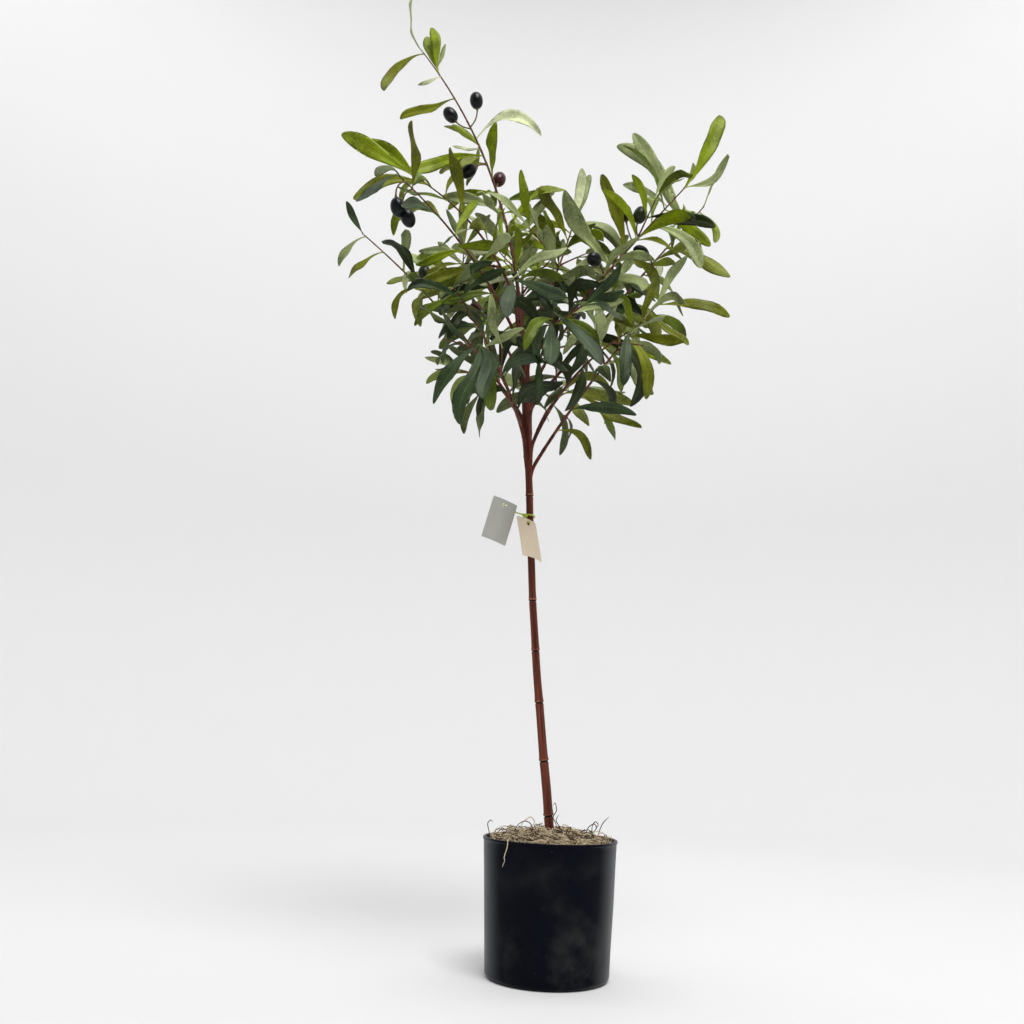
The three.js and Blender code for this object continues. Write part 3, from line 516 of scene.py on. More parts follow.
def grow_olive(growth, grown, distance, around, bend, stalk, tint="drawn"):
    """An olive on its bent stalk."""
    place = grown.line.place(distance)
    arc = Arc(place.point, out_from(place, OLIVE_SPLAY, around), stalk, bend)
    end = arc.place(1)
    centre = end.point + end.ahead * OLIVE_HALF * OLIVE_SEAT
    reach = OLIVE_HALF - OLIVE_RADIUS + 1
    axis = np.array([centre - end.ahead * reach, centre + end.ahead * reach])
    growth.add(Thing(grown.number, [arc.place((0.1, 0.5, 1)).point], OLIVE_STALK))
    growth.add(Thing(grown.number, [axis], OLIVE_RADIUS))
    grown.olives.append((arc, centre, end, tint))


def grow_shoot(growth, grown, place, around, draw):
    """A short side shoot: a thin bent twig with a pair of leaves half way and three at its end."""
    length, bend, splay = mix(*SHOOT_LENGTH, draw()), mix(*SHOOT_BEND, draw()), mix(*SHOOT_SPLAY, draw())
    leaf_draws = [[draw(), draw(), draw()] for _ in range(SHOOT_LEAVES)]
    for turn in TURNS:
        arc = Arc(place.point, out_from(place, splay, around + turn), length, bend)
        thing = Thing(grown.number, [arc.place((0.1, 0.35, 0.7, 1)).point], SHOOT_RADIUS, True)
        if not inside_crown(thing) or not growth.is_clear(thing):
            continue
        growth.add(thing)
        grown.shoots.append(arc)
        for i, (a, b, c) in enumerate(leaf_draws):
            offer_leaf(
                growth,
                grown,
                arc.place(SHOOT_PAIR_AT if i < 2 else 1),
                SHOOT_END_SPLAY if i == SHOOT_LEAVES - 1 else mix(*SHOOT_LEAF_SPLAY, a),
                180 * i + 90 * (i // 2) + SHOOT_LEAF_TURN * b,
                mix(*SHOOT_LEAF, c),
                mix(*SHOOT_LEAF_ROLL, b),
                mix(*SHOOT_LEAF_DROOP, a),
            )
        return


def low_droop(z):
    """How much more the leaves droop low in the crown."""
    return LOW_DROOP * (1 - smooth(CROWN_FOOT, CROWN_FOOT + LOW_RISE, z))


def grow_along(growth, grown):
    """Leaves and shoots along one stem, from its bare stretch to its tip zone."""
    spray = grown.spray
    draw = draws_from(spray.seed)
    around = 360 * draw()
    distance = spray.bare + NODE_START
    while distance < spray.length - spray.tip_zone:
        place = grown.line.place(distance)
        outer = distance / spray.length
        around += mix(*NODE_TURN, draw())
        for half in (0, 180) if draw() < spray.pairs else (0,):
            splay = mix(*LEAF_SPLAY, draw())
            length = mix(LEAF_LONGEST, LEAF_SHORTEST, LEAF_OUTER * outer + (1 - LEAF_OUTER) * draw())
            roll = FACING_JITTER * mix(-1, 1, draw())
            droop = mix(*LEAF_DROOP, draw()) + low_droop(place.point[2])
            offer_leaf(growth, grown, place, splay, around + half, length, roll, droop)
        if draw() < spray.branching:
            grow_shoot(growth, grown, place, around + 90, draw)
        distance += NODE_STEP * mix(*NODE_JITTER, draw())


def grow_finer(growth, grown):
    """Carries the rule on: closer leaves along the stem and twiglets, dense in the crown's core."""
    spray = grown.spray
    draw = draws_from(spray.seed + FINER_SEED)
    around = 360 * draw()
    distance = spray.bare + NODE_START / 2
    while distance < spray.length - NODE_START:
        place = grown.line.place(distance)
        around += mix(*NODE_TURN, draw())
        away = np.linalg.norm(place.point - np.array(CORE_CENTRE))
        dense = mix(1, CORE_REST, smooth(CORE_FULL, CORE_GONE, away))
        for half in (0, 180):
            wanted, splay, size, roll, droop = draw(), draw(), draw(), draw(), draw()
            if wanted < dense:
                offer_leaf(
                    growth,
                    grown,
                    place,
                    mix(*LEAF_SPLAY, splay),
                    around + half,
                    mix(*FINER_LEAF, size),
                    FACING_JITTER * mix(-1, 1, roll),
                    mix(*LEAF_DROOP, droop) + low_droop(place.point[2]),
                )
        if draw() < TWIGLET_SHARE * dense:
            grow_shoot(growth, grown, place, around + TWIGLET_TURN, draw)
        distance += FINER_STEP * mix(*NODE_JITTER, draw())


@functools.cache
def grow_tree():
    """The whole crown: first as the part's source grows it, in the same order, then the finer growth."""
    growth = Growth()
    count = round((FORK - FOOT) / LIMB_TEST_STEP)
    trunk = np.array([trunk_point(mix(FOOT, FORK, i / count)) for i in range(count + 1)])
    growth.add(Thing(-1, [trunk], CANE_RADIUS + BUNDLE_RADIUS))
    crown = [Grown(number, spray) for number, spray in enumerate(SPRAYS)]
    for grown in crown:
        bare, length = grown.spray.bare, grown.spray.length
        growth.add(Thing(grown.number, [grown.line.stretch(bare, length)], LIMB_ROOT / 2))
        growth.add(Thing(-2, [grown.line.stretch(0, max(bare, 1))], LIMB_ROOT))
    for grown in crown:
        for olive in grown.spray.olives:
            grow_olive(growth, grown, *olive)
    for grown in crown:
        for leaf in grown.spray.tip:
            offer_named(growth, grown, *leaf)
    for grown in crown:
        grow_along(growth, grown)
    growth.clear_others = growth.clear_own = FINER_CLEAR
    for grown in crown:
        for leaf in FINER_TIPS.get(grown.spray.name, ()):
            offer_named(growth, grown, *leaf)
    for grown in crown:
        grow_finer(growth, grown)
    return crown


# Meshes: rows of points become sheets and tubes, gathered into one piece
class Skin:
    """Gathers places, faces, a material number for each face and pattern places into one mesh."""

    def __init__(self):
        self.places, self.faces, self.looks, self.marks, self.count = [], [], [], [], 0

    def _add(self, places, faces, look, marks):
        self.places.append(places)
        self.marks.append(np.zeros((len(places), 2)) if marks is None else marks)
        for corners in faces:
            self.faces.append(corners + self.count)
        self.looks.append(look)
        self.count += len(places)

    def sheet(self, rows, look=0, closed=False, marks=None, caps=(False, False)):
        """A sheet through rows of points, closed round into a tube if asked, with fans over its ends."""
        n, m = rows.shape[:2]
        index = np.arange(n * m).reshape(n, m)
        if closed:
            index = np.concatenate([index, index[:, :1]], axis=1)
        quads = np.stack([index[:-1, :-1], index[:-1, 1:], index[1:, 1:], index[1:, :-1]], axis=-1)
        places, faces = rows.reshape(-1, 3), [quads.reshape(-1, 4)]
        looks = np.broadcast_to(look, quads.shape[:2])
        edges = [looks.reshape(-1)]
        flat = None if marks is None else marks.reshape(-1, 2)
        for end, wanted in enumerate(caps):
            if not wanted:
                continue
            ring = index[-1 if end else 0]
            middle = len(places)
            places = np.concatenate([places, rows[-1 if end else 0].mean(0)[None]])
            if flat is not None:
                flat = np.concatenate([flat, marks[-1 if end else 0].mean(0)[None]])
            pair = (ring[:-1], ring[1:]) if end else (ring[1:], ring[:-1])
            fan = np.stack([*pair, np.full(len(ring) - 1, middle)], axis=-1)
            faces.append(fan)
            edges.append(looks[-1 if end else 0])
        self._add(places, faces, np.concatenate(edges), flat)

    def tube(self, centres, radii, sides, look=0, caps=(True, True)):
        """A round tube along centres, with its frame carried from point to point."""
        centres, radii = np.asarray(centres, float), np.asarray(radii, float)
        ahead = np.gradient(centres, axis=0)
        ahead /= np.linalg.norm(ahead, axis=1)[:, None]
        side = unit(np.cross(ahead[0], UP if abs(ahead[0][2]) < 0.9 else BACK))
        angles = np.arange(sides) * 2 * np.pi / sides
        rows = []
        for centre, direction, radius in zip(centres, ahead, radii):
            side = unit(side - direction * side.dot(direction))
            over = np.cross(direction, side)
            ring = np.cos(angles)[:, None] * side + np.sin(angles)[:, None] * over
            rows.append(centre + ring * np.asarray(radius).reshape(-1, 1))
        self.sheet(np.array(rows), look, closed=True, caps=caps)

    def piece(self, name, materials, slot, nodes=()):
        """The finished piece, in metres, riding on the body and standing for its nodes."""
        places = np.concatenate(self.places) * MM
        corners = np.concatenate([faces.reshape(-1) for faces in self.faces])
        sizes = np.concatenate([np.full(len(faces), faces.shape[1]) for faces in self.faces])
        mesh = bpy.data.meshes.new(name)
        mesh.vertices.add(len(places))
        mesh.vertices.foreach_set("co", places.reshape(-1).astype(np.float32))
        mesh.loops.add(len(corners))
        mesh.loops.foreach_set("vertex_index", corners.astype(np.int32))
        mesh.polygons.add(len(sizes))
        mesh.polygons.foreach_set("loop_start", (np.cumsum(sizes) - sizes).astype(np.int32))
        mesh.polygons.foreach_set("material_index", np.concatenate(self.looks).astype(np.int32))
        mesh.polygons.foreach_set("use_smooth", np.ones(len(sizes), bool))
        marks = np.concatenate(self.marks)[corners]
        layer = mesh.uv_layers.new(name="UVMap")
        layer.uv.foreach_set("vector", marks.reshape(-1).astype(np.float32))
        mesh.update(calc_edges=True)
        mesh.validate()
        for material in materials:
            mesh.materials.append(material)
        piece = bpy.data.objects.new(name, mesh)
        bpy.context.collection.objects.link(piece)
        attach(piece, "root")
        if nodes:
            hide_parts(*nodes)
        return piece


def ripple(places, size, seed):
    """A smooth uneven field from -1 to 1 over places in millimetres, with swells about size long."""
    draw = draws_from(seed)
    total = 0
    for _ in range(5):
        direction = np.array([draw() - 0.5, draw() - 0.5, draw() - 0.5])
        stretch = mix(0.7, 1.6, draw()) * 2 * math.pi / size
        total = total + np.sin(places @ unit(direction) * stretch + 2 * math.pi * draw())
    return total / 5


# Materials: one small node kit, and a function for each finish
class Finish:
    """A material on the principled shader, with helpers that add and join nodes."""

    def __init__(self, name, colour, roughness, **sockets):
        self.material = bpy.data.materials.new(name)
        self.material.use_nodes = True
        self.tree = self.material.node_tree
        self.shader = self.tree.nodes["Principled BSDF"]
        self.shader.inputs["Base Color"].default_value = (*colour, 1)
        self.shader.inputs["Roughness"].default_value = roughness
        for socket, value in sockets.items():
            self.shader.inputs[socket.replace("_", " ")].default_value = value
        self.places = self.node("ShaderNodeTexCoord").outputs["Object"]

    def node(self, kind, **settings):
        node = self.tree.nodes.new(kind)
        for key, value in settings.items():
            setattr(node, key, value)
        return node

    def join(self, source, target):
        self.tree.links.new(source, target)

    def maths(self, operation, a, b=None, clamp=False):
        node = self.node("ShaderNodeMath", operation=operation, use_clamp=clamp)
        for socket, value in zip(node.inputs, (a, b)):
            if value is None:
                continue
            if isinstance(value, (int, float)):
                socket.default_value = value
            else:
                self.join(value, socket)
        return node.outputs[0]

    def noise(self, scale, stretch=(1, 1, 1), detail=3.0, roughness=0.55, lean=0.0):
        """Noise over the object's own places, scale in swells per metre, turned by lean in degrees to
        run along a leaning cane."""
        places = self.places
        if lean:
            turned = self.node("ShaderNodeVectorRotate", rotation_type="Y_AXIS")
            turned.inputs["Angle"].default_value = math.radians(lean)
            self.join(places, turned.inputs["Vector"])
            places = turned.outputs[0]
        mapping = self.node("ShaderNodeMapping")
        mapping.inputs["Scale"].default_value = stretch
        self.join(places, mapping.inputs["Vector"])
        noise = self.node("ShaderNodeTexNoise")
        noise.inputs["Scale"].default_value = scale
        noise.inputs["Detail"].default_value = detail
        noise.inputs["Roughness"].default_value = roughness
        self.join(mapping.outputs[0], noise.inputs["Vector"])
        return noise.outputs["Fac"]

    def ramp(self, value, *stops):
        """A colour or grey ramp: stops are (position, colour)."""
        node = self.node("ShaderNodeValToRGB")
        elements = node.color_ramp.elements
        while len(elements) < len(stops):
            elements.new(0.5)
        for element, (position, colour) in zip(elements, stops):
            element.position = position
            element.color = (*colour, 1) if isinstance(colour, tuple) else (colour, colour, colour, 1)
        self.join(value, node.inputs[0])
        return node.outputs[0]

    def blend(self, share, a, b, kind="MIX"):
        """Mixes two colours, given as sockets or as red, green and blue."""
        node = self.node("ShaderNodeMix", data_type="RGBA", blend_type=kind)
        for socket, value in zip((node.inputs[0], node.inputs[6], node.inputs[7]), (share, a, b)):
            if isinstance(value, bpy.types.NodeSocket):
                self.join(value, socket)
            elif isinstance(value, tuple):
                socket.default_value = (*value, 1)
            else:
                socket.default_value = value
        return node.outputs[2]

    def colour(self, socket):
        self.join(socket, self.shader.inputs["Base Color"])

    def rough(self, value, low, high):
        node = self.node("ShaderNodeMapRange")
        node.inputs["To Min"].default_value = low
        node.inputs["To Max"].default_value = high
        self.join(value, node.inputs["Value"])
        self.join(node.outputs[0], self.shader.inputs["Roughness"])

    def bump(self, height, depth, strength=1.0):
        node = self.node("ShaderNodeBump")
        node.inputs["Strength"].default_value = strength
        node.inputs["Distance"].default_value = depth
        self.join(height, node.inputs["Height"])
        self.join(node.outputs[0], self.shader.inputs["Normal"])


def shade(colour, factor):
    """The colour made darker or lighter by a factor."""
    return tuple(min(1.0, channel * factor) for channel in colour)


# Settings: the sizes and colours that a user would change
POT_LOW, POT_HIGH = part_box("pot")
# Each tag's hole, and how it hangs: pitch, tilt and yaw in degrees
TAG_HOLES = {"tag_left": (-52, -9, 418), "tag_right": (-29.5, -14, 400)}
TAG_TURNS = {"tag_left": (0, 15, 26), "tag_right": (-20, 6, 45)}


def size_of(name, description, default):
    return bpy.props.FloatProperty(
        name=name, description=description, default=default, min=0, precision=4, unit="LENGTH"
    )


def angle_of(name, description, degrees):
    return bpy.props.FloatProperty(
        name=name, description=description, default=math.radians(degrees), subtype="ANGLE"
    )


def share_of(name, description, default):
    return bpy.props.FloatProperty(
        name=name, description=description, default=default, min=0, subtype="FACTOR"
    )


def colour_of(name, description, default):
    return bpy.props.FloatVectorProperty(
        name=name, description=description, default=default, min=0, max=1, size=3, subtype="COLOR"
    )


class PotLook(bpy.types.PropertyGroup):
    """Sizes and colours of the pot."""

    height: size_of("Height", "Foot to rim", POT_HIGH[2] - POT_LOW[2])
    rim_radius: size_of("Rim radius", "Outside the lip", (POT_HIGH[0] - POT_LOW[0]) / 2)
    foot_radius: size_of("Foot radius", "Outside the wall just above the rounded foot", 0.054)
    wall: size_of("Wall", "Thickness of the wall", 0.0018)
    lip_depth: size_of("Lip depth", "Height of the proud lip", 0.0028)
    lip_proud: size_of("Lip proud", "How far the lip stands out", 0.0007)
    foot_corner: size_of("Foot corner", "Radius of the rounded foot", 0.005)
    uneven: size_of("Uneven", "How far the soft wall strays from round", 0.00035)
    colour: colour_of("Colour", "Plastic in the open", (0.0035, 0.0045, 0.0085))
    scuff: colour_of("Scuff", "Dust and scuffs", (0.060, 0.062, 0.055))


class MossLook(bpy.types.PropertyGroup):
    """Amount and colours of the dry moss."""

    strands: bpy.props.IntProperty(name="Strands", description="Curly strands", default=900, min=0)
    strand: size_of("Strand", "Radius of a strand", 0.00036)
    straw: colour_of("Straw", "Palest strands", (0.82, 0.70, 0.47))
    tan: colour_of("Tan", "Most strands", (0.74, 0.60, 0.41))
    # Over the bed this dark also flecks painted shade between the strands.
    dark: colour_of("Dark", "Dark strands and the bed's hollows", (0.105, 0.067, 0.036))


class CaneLook(bpy.types.PropertyGroup):
    """Relief and colours of the cane and its boughs."""

    relief: size_of("Relief", "Depth of the bark's grooves", 0.00012)
    bark: colour_of("Bark", "Reddish brown", (0.098, 0.024, 0.013))
    streak: colour_of("Streak", "Dark streaks along the cane", (0.036, 0.009, 0.006))
    # The lip's pale colour is a painted highlight on the joint's edge.
    lip: colour_of("Lip", "Worn lips at the joints", (0.27, 0.11, 0.06))
    twig: colour_of("Twig", "Thin outer stems", (0.13, 0.05, 0.028))
    stalk: colour_of("Stalk", "Olive stalks and new wood", (0.10, 0.09, 0.03))


class LeafLook(bpy.types.PropertyGroup):
    """Shape and colours of the leaves."""

    width: share_of("Width", "Blade width against the growing rule's", 0.94)
    thickness: size_of("Thickness", "Thickness of the cloth", 0.00035)
    fold: angle_of("Fold", "How far the halves fold up", 16)
    twist: angle_of("Twist", "How far a blade turns about its midrib", 80)
    sway: share_of("Sway", "How far a blade sways to one side, against its length", 0.13)
    curl: share_of("Curl", "How far its end curls up or down, against its length", 0.26)
    wave: share_of("Wave", "Height of the wavy edge against half the width", 0.26)
    # Dark is painted shade, deep partly painted shade, fresh and pale partly painted light.
    deep: colour_of("Deep", "Blue-green leaves in the shade", (0.027, 0.047, 0.016))
    mid: colour_of("Mid", "Plain green leaves", (0.080, 0.114, 0.006))
    olive: colour_of("Olive", "Olive green leaves", (0.125, 0.140, 0.004))
    fresh: colour_of("Fresh", "Yellow-green leaves near the light", (0.162, 0.212, 0.002))
    grey: colour_of("Grey", "Grey-green leaves", (0.245, 0.285, 0.118))
    pale: colour_of("Pale", "Pale leaves with the light behind them", (0.520, 0.580, 0.310))
    dark: colour_of("Dark", "Dark leaves", (0.011, 0.019, 0.002))
    under: colour_of("Underside", "Pale undersides", (0.260, 0.300, 0.110))
    rib: colour_of("Midrib", "Pale midribs", (0.200, 0.235, 0.060))


class OliveLook(bpy.types.PropertyGroup):
    """Sizes and colours of the olives."""

    radius: size_of("Radius", "Half across an olive", OLIVE_RADIUS * MM)
    half: size_of("Half length", "Half along an olive", OLIVE_HALF * MM)
    black: colour_of("Black", "Ripe olives", (0.0025, 0.003, 0.004))
    brown: colour_of("Brown", "Turning olives", (0.045, 0.010, 0.010))
    green: colour_of("Green", "Dark green olives", (0.013, 0.018, 0.005))


class TagLook(bpy.types.PropertyGroup):
    """Sizes and colours of the two blank hang tags and their tie."""

    width: size_of("Width", "Across a tag", 0.026)
    length: size_of("Length", "Down a tag", 0.042)
    thickness: size_of("Thickness", "Thickness of the card", 0.0005)
    bend: size_of("Bend", "How far a tag bows", 0.0016)
    wire: size_of("Tie", "Radius of the tie", 0.0007)
    grey: colour_of("Grey card", "Left tag", (0.50, 0.50, 0.46))
    cream: colour_of("Cream card", "Right tag", (0.65, 0.54, 0.40))
    tie: colour_of("Tie colour", "Green tie", (0.46, 0.55, 0.05))


class StageLook(bpy.types.PropertyGroup):
    """Floor, light and camera."""

    floor: colour_of("Floor", "Pale floor and backdrop", (0.745, 0.745, 0.745))
    backdrop: size_of("Backdrop", "Distance of the curved backdrop round the tree", 2.3)
    wall: size_of("Wall", "Height of the backdrop", 3.2)
    sky: bpy.props.FloatProperty(name="Sky", description="Soft light from above", default=0.60)
    low_sky: bpy.props.FloatProperty(name="Low sky", description="Soft light from the sides", default=0.1)
    key: bpy.props.FloatProperty(name="Key", description="Power of the main soft light", default=50)
    wash: bpy.props.FloatProperty(name="Wash", description="Power of the light on the backdrop", default=27)
    lens: bpy.props.FloatProperty(name="Lens", description="Focal length, millimetres", default=35)
    eye: bpy.props.FloatVectorProperty(
        name="Eye", description="Camera place", default=(-0.045, -0.930, 0.201), subtype="TRANSLATION"
    )
    pitch: angle_of("Pitch", "Camera looks up", 12.8)
    roll: angle_of("Roll", "Camera leans", 2.16)


class OliveTreeLook(bpy.types.PropertyGroup):
    """All settings of the olive tree."""

    pot: bpy.props.PointerProperty(type=PotLook)
    moss: bpy.props.PointerProperty(type=MossLook)
    cane: bpy.props.PointerProperty(type=CaneLook)
    leaf: bpy.props.PointerProperty(type=LeafLook)
    olive: bpy.props.PointerProperty(type=OliveLook)
    tag: bpy.props.PointerProperty(type=TagLook)
    stage: bpy.props.PointerProperty(type=StageLook)


# Pot: sides of its turned wall, the dish of its underside, and the roundings outside and inside its lip
POT_SIDES, POT_DISH, LIP_ROUND, BRIM_ROUND = 120, 0.6, 0.9, 0.8


def turned(profile, sides, uneven=0.0, seed=1):
    """Rows of points of a turned wall from its profile of (radius, height), a little out of round."""
    angles = np.arange(sides) * 2 * np.pi / sides
    rows = []
    for radius, height in profile:
        ring = np.stack([np.cos(angles) * radius, np.sin(angles) * radius, angles * 0 + height], axis=1)
        stray = 1 + uneven / max(radius, 1) * ripple(ring, 70, seed)
        rows.append(ring * np.stack([stray, stray, np.ones(sides)], axis=1))
    return np.array(rows)


def bend_of(centre, radius, start, end, steps):
    """Points of a round stretch of a profile, from angle start to end in degrees."""
    angles = np.radians(np.linspace(start, end, steps))
    return [(centre[0] + radius * math.cos(a), centre[1] + radius * math.sin(a)) for a in angles]


def pot_profile(look):
    """The pot's outline from the middle of its underside, over the lip and down inside to its floor."""
    height, rim, foot = look.height / MM, look.rim_radius / MM, look.foot_radius / MM
    wall, corner = look.wall / MM, look.foot_corner / MM
    lip_foot, under_lip = height - look.lip_depth / MM, rim - look.lip_proud / MM
    # The underside is dished a little inside the ring that the pot stands on
    profile = [(3, POT_DISH), (foot - corner - 3, POT_DISH), (foot - corner - 2, 0)]
    profile += bend_of((foot - corner, corner), corner, -90, -4, 9)
    for share in np.linspace(0.06, 0.97, 16):
        profile.append((mix(foot, under_lip, share), mix(corner, lip_foot, share)))
    profile += [(under_lip, lip_foot - 0.4), (under_lip + 0.2, lip_foot)]
    profile += bend_of((rim - LIP_ROUND, lip_foot + 1.0), LIP_ROUND, -60, 0, 4)
    profile += bend_of((rim - LIP_ROUND, height - LIP_ROUND), LIP_ROUND, 0, 90, 5)
    profile += bend_of((under_lip - wall + BRIM_ROUND, height - BRIM_ROUND), BRIM_ROUND, 90, 180, 5)
    for share in np.linspace(0.95, 0.1, 7):
        profile.append((mix(foot, under_lip, share) - wall, mix(corner, lip_foot, share)))
    profile += [(foot - corner, 3), (4, 3)]
    return profile


def pot_plastic(look):
    """Black plastic: cloudy dust, flat scratches and specks, with a shine that grows towards its edges."""
    finish = Finish("pot_plastic", look.colour, 0.5)
    cloud = finish.noise(22, detail=5, roughness=0.65)
    fine = finish.noise(240, detail=3)
    scratches = finish.noise(150, (1, 1, 7), detail=2)
    wear_and_foot_light = finish.ramp(finish.noise(11, detail=3), (0.42, 0.15), (0.64, 1.0))
    scuffs = finish.maths("MULTIPLY", finish.ramp(cloud, (0.48, 0.0), (0.74, 0.42)), wear_and_foot_light)
    marks = finish.maths("MULTIPLY", finish.ramp(scratches, (0.62, 0.0), (0.72, 0.7)), scuffs)
    specks = finish.ramp(finish.noise(330, detail=1), (0.75, 0.0), (0.79, 0.4))
    share = finish.maths("ADD", finish.maths("ADD", scuffs, marks), specks, clamp=True)
    finish.colour(finish.blend(share, tuple(look.colour), tuple(look.scuff)))
    facing = finish.node("ShaderNodeLayerWeight")
    facing.inputs["Blend"].default_value = 0.5
    shine = finish.ramp(facing.outputs["Facing"], (0.35, 0.03), (1.0, 0.55))
    finish.join(shine, finish.shader.inputs["Specular IOR Level"])
    finish.rough(cloud, 0.3, 0.52)
    finish.bump(fine, 0.0002, 0.25)
    return finish.material


# Moss: the bed's edge and heights, and how far in it reaches its full height
MOSS_EDGE, MOSS_RISE, MOSS_LOW, MOSS_HIGH, MOSS_SKIRT = 57, 49, 109.5, 119.5, 104
MOSS_SIDES, MOSS_RINGS = 84, 26
STRAND_AREA, STRAND_LENGTH, STRAND_CURL, STRAND_LIFT, STRAND_STEP = 50, (7, 28), 0.9, 0.75, 1.6


def moss_height(places):
    """Height of the moss bed in millimetres over places in plan: mounded at the cane and uneven."""
    radius = np.linalg.norm(places[..., :2], axis=-1)
    share = np.clip((MOSS_EDGE - radius) / MOSS_RISE, 0, 1)
    mound = mix(MOSS_LOW, MOSS_HIGH, np.sin(share * np.pi / 2))
    flat = np.concatenate([places[..., :2], 0 * places[..., :1]], axis=-1)
    return mound + 1.3 * ripple(flat, 17, 41) + 0.7 * ripple(flat, 6, 42)


def moss_bed():
    """The bed: rings from a skirt at the pot's wall in to the cane."""
    angles = np.arange(MOSS_SIDES) * 2 * np.pi / MOSS_SIDES
    skirt = MOSS_EDGE + 0.2
    rows = []
    for radius in (skirt, MOSS_EDGE, *np.linspace(MOSS_EDGE - 2, 2, MOSS_RINGS)):
        ring = np.stack([np.cos(angles) * radius, np.sin(angles) * radius, 0 * angles], axis=1)
        ring[:, 2] = MOSS_SKIRT if radius == skirt else moss_height(ring)
        rows.append(ring)
    skin = Skin()
    skin.sheet(np.array(rows), closed=True, caps=(False, True))
    return skin


def moss_strand(start, heading, length, curl, lift, draw):
    """A curly strand's points: it wanders from its start, turning by curl, and arches by lift."""
    count = max(6, round(length / STRAND_STEP))
    point, angle = np.array(start, float), heading
    turn, sway, phase = curl * mix(-1, 1, draw()), mix(0.5, 1.6, draw()), 2 * math.pi * draw()
    points = [point]
    for i in range(count):
        angle += turn + 0.5 * curl * math.sin(sway * i + phase)
        arch = math.cos(math.pi * (i + 0.5) / count)
        climb = lift * (arch + 0.5 * math.sin(1.7 * sway * i + phase))
        level = math.cos(climb)
        ahead = np.array([math.cos(angle) * level, math.sin(angle) * level, math.sin(climb)])
        point = point + ahead * length / count
        points.append(point)
    return np.array(points)


def laid_strand(points, reach):
    """A strand kept within reach of the pot's middle and on top of the bed."""
    radius = np.linalg.norm(points[:, :2], axis=1)
    points[:, :2] *= (np.minimum(radius, reach) / np.maximum(radius, 1e-6))[:, None]
    points[:, 2] = np.maximum(points[:, 2], moss_height(points) - 0.2)
    return points


# Tangled tufts: place in plan, and how many strands
TUFTS = (
    (-50, -13, 3),
    (-30, -22, 8),
    (-18, -24, 8),
    (-4, -22, 4),
    (6, -5, 4),
    (13, -18, 6),
    (34, -18, 9),
    (44, -15, 5),
    (20, -34, 3),
    (-12, 24, 6),
    (28, 26, 6),
    (-40, 16, 5),
)
TUFT_SPREAD, TUFT_LENGTH, TUFT_CURL, TUFT_LIFT = 7, (15, 31), (0.35, 0.95), (0.7, 1.25)
STRAND_REACH, TUFT_REACH = 53.5, 54.5
# The strands' shades, the share of straw ones, of tan ones among the rest and of dark ones in a tuft,
# and each kind's width against the plain strand's
STRAW, TAN, DARK = 0, 1, 2
STRAW_SHARE, TAN_SHARE, TUFT_DARK = 0.3, 0.6, 0.7
STRAND_WIDTH, TUFT_WIDTH, PROUD_WIDTH, HANGING_WIDTH = (0.6, 1.3), (0.8, 1.25), 1.25, 1.1

# Strands that stand out: the places they curl through, and their shade, 0 straw, 1 tan or 2 dark
PROUD_STRANDS = (
    (((-53, -12, 112), (-54.5, -12, 120), (-56, -13, 127), (-53.5, -13, 130), (-51.5, -12, 128.5)), 2),
    (((-52, -12, 113), (-50, -14, 119), (-48.5, -14, 124)), 1),
    (((-40, -20, 116), (-37.6, -22, 125), (-33, -22, 126.7), (-32.2, -20, 122)), 1),
    (
        (
            (-34, -22, 117),
            (-30.4, -24, 126.7),
            (-24.2, -26, 131.2),
            (-18.8, -26, 129.4),
            (-17, -24, 124),
            (-20.6, -23, 121.4),
            (-26, -24, 123.2),
        ),
        2,
    ),
    (
        (
            (-28.6, -18, 117),
            (-26, -20, 128.5),
            (-21.5, -20, 133),
            (-18, -19, 134.4),
            (-15, -18, 130),
            (-18, -18, 126),
        ),
        1,
    ),
    (((-20, -28, 116), (-12, -26, 126), (-5, -24, 124), (0, -24, 118)), 0),
    (
        (
            (5.4, -6, 116),
            (4.5, -8, 127.6),
            (1.8, -9, 134),
            (4.5, -9, 140),
            (3.2, -9, 146.5),
            (1.4, -9, 144),
        ),
        2,
    ),
    (((6, -4, 117), (8, -6, 125), (4.5, -7, 131), (6.5, -7, 136)), 2),
    (((10.7, -16, 116), (14.3, -18, 125), (17, -18, 126.7), (15.2, -17, 121.4), (11.6, -17, 119.6)), 2),
    (((8, -12, 118), (18, -18, 123.5), (24, -22, 119)), 1),
    (
        (
            (32.2, -18, 113),
            (30.4, -18, 123),
            (33.4, -19, 128.5),
            (37.6, -19, 130.3),
            (39.4, -18, 126.7),
            (35.8, -17, 123),
            (33.1, -17, 125),
        ),
        2,
    ),
    (((37.6, -14, 114), (35.8, -15, 126.7), (38.5, -15, 132), (41.2, -15, 129.4), (39, -14, 126)), 2),
    (((35.8, -20, 115), (41.2, -21, 122.3), (45.7, -20, 123), (47.5, -19, 118.6)), 1),
    (((39.4, -12, 114), (44.8, -12, 129.4), (51, -12, 136.6)), 2),
    (((42, -16, 113), (47.5, -16, 121.4), (50, -15, 116)), 2),
    (((26, -24, 114), (29, -24, 122), (34, -24, 121), (33, -23, 117)), 0),
)
HANGING_STRAND = (
    (-33, -40, 114),
    (-36, -46, 117.6),
    (-38, -50.5, 117.4),
    (-38.4, -52.5, 112),
    (-40.6, -53, 104),
    (-40.2, -53, 101),
    (-42, -52.8, 96),
)


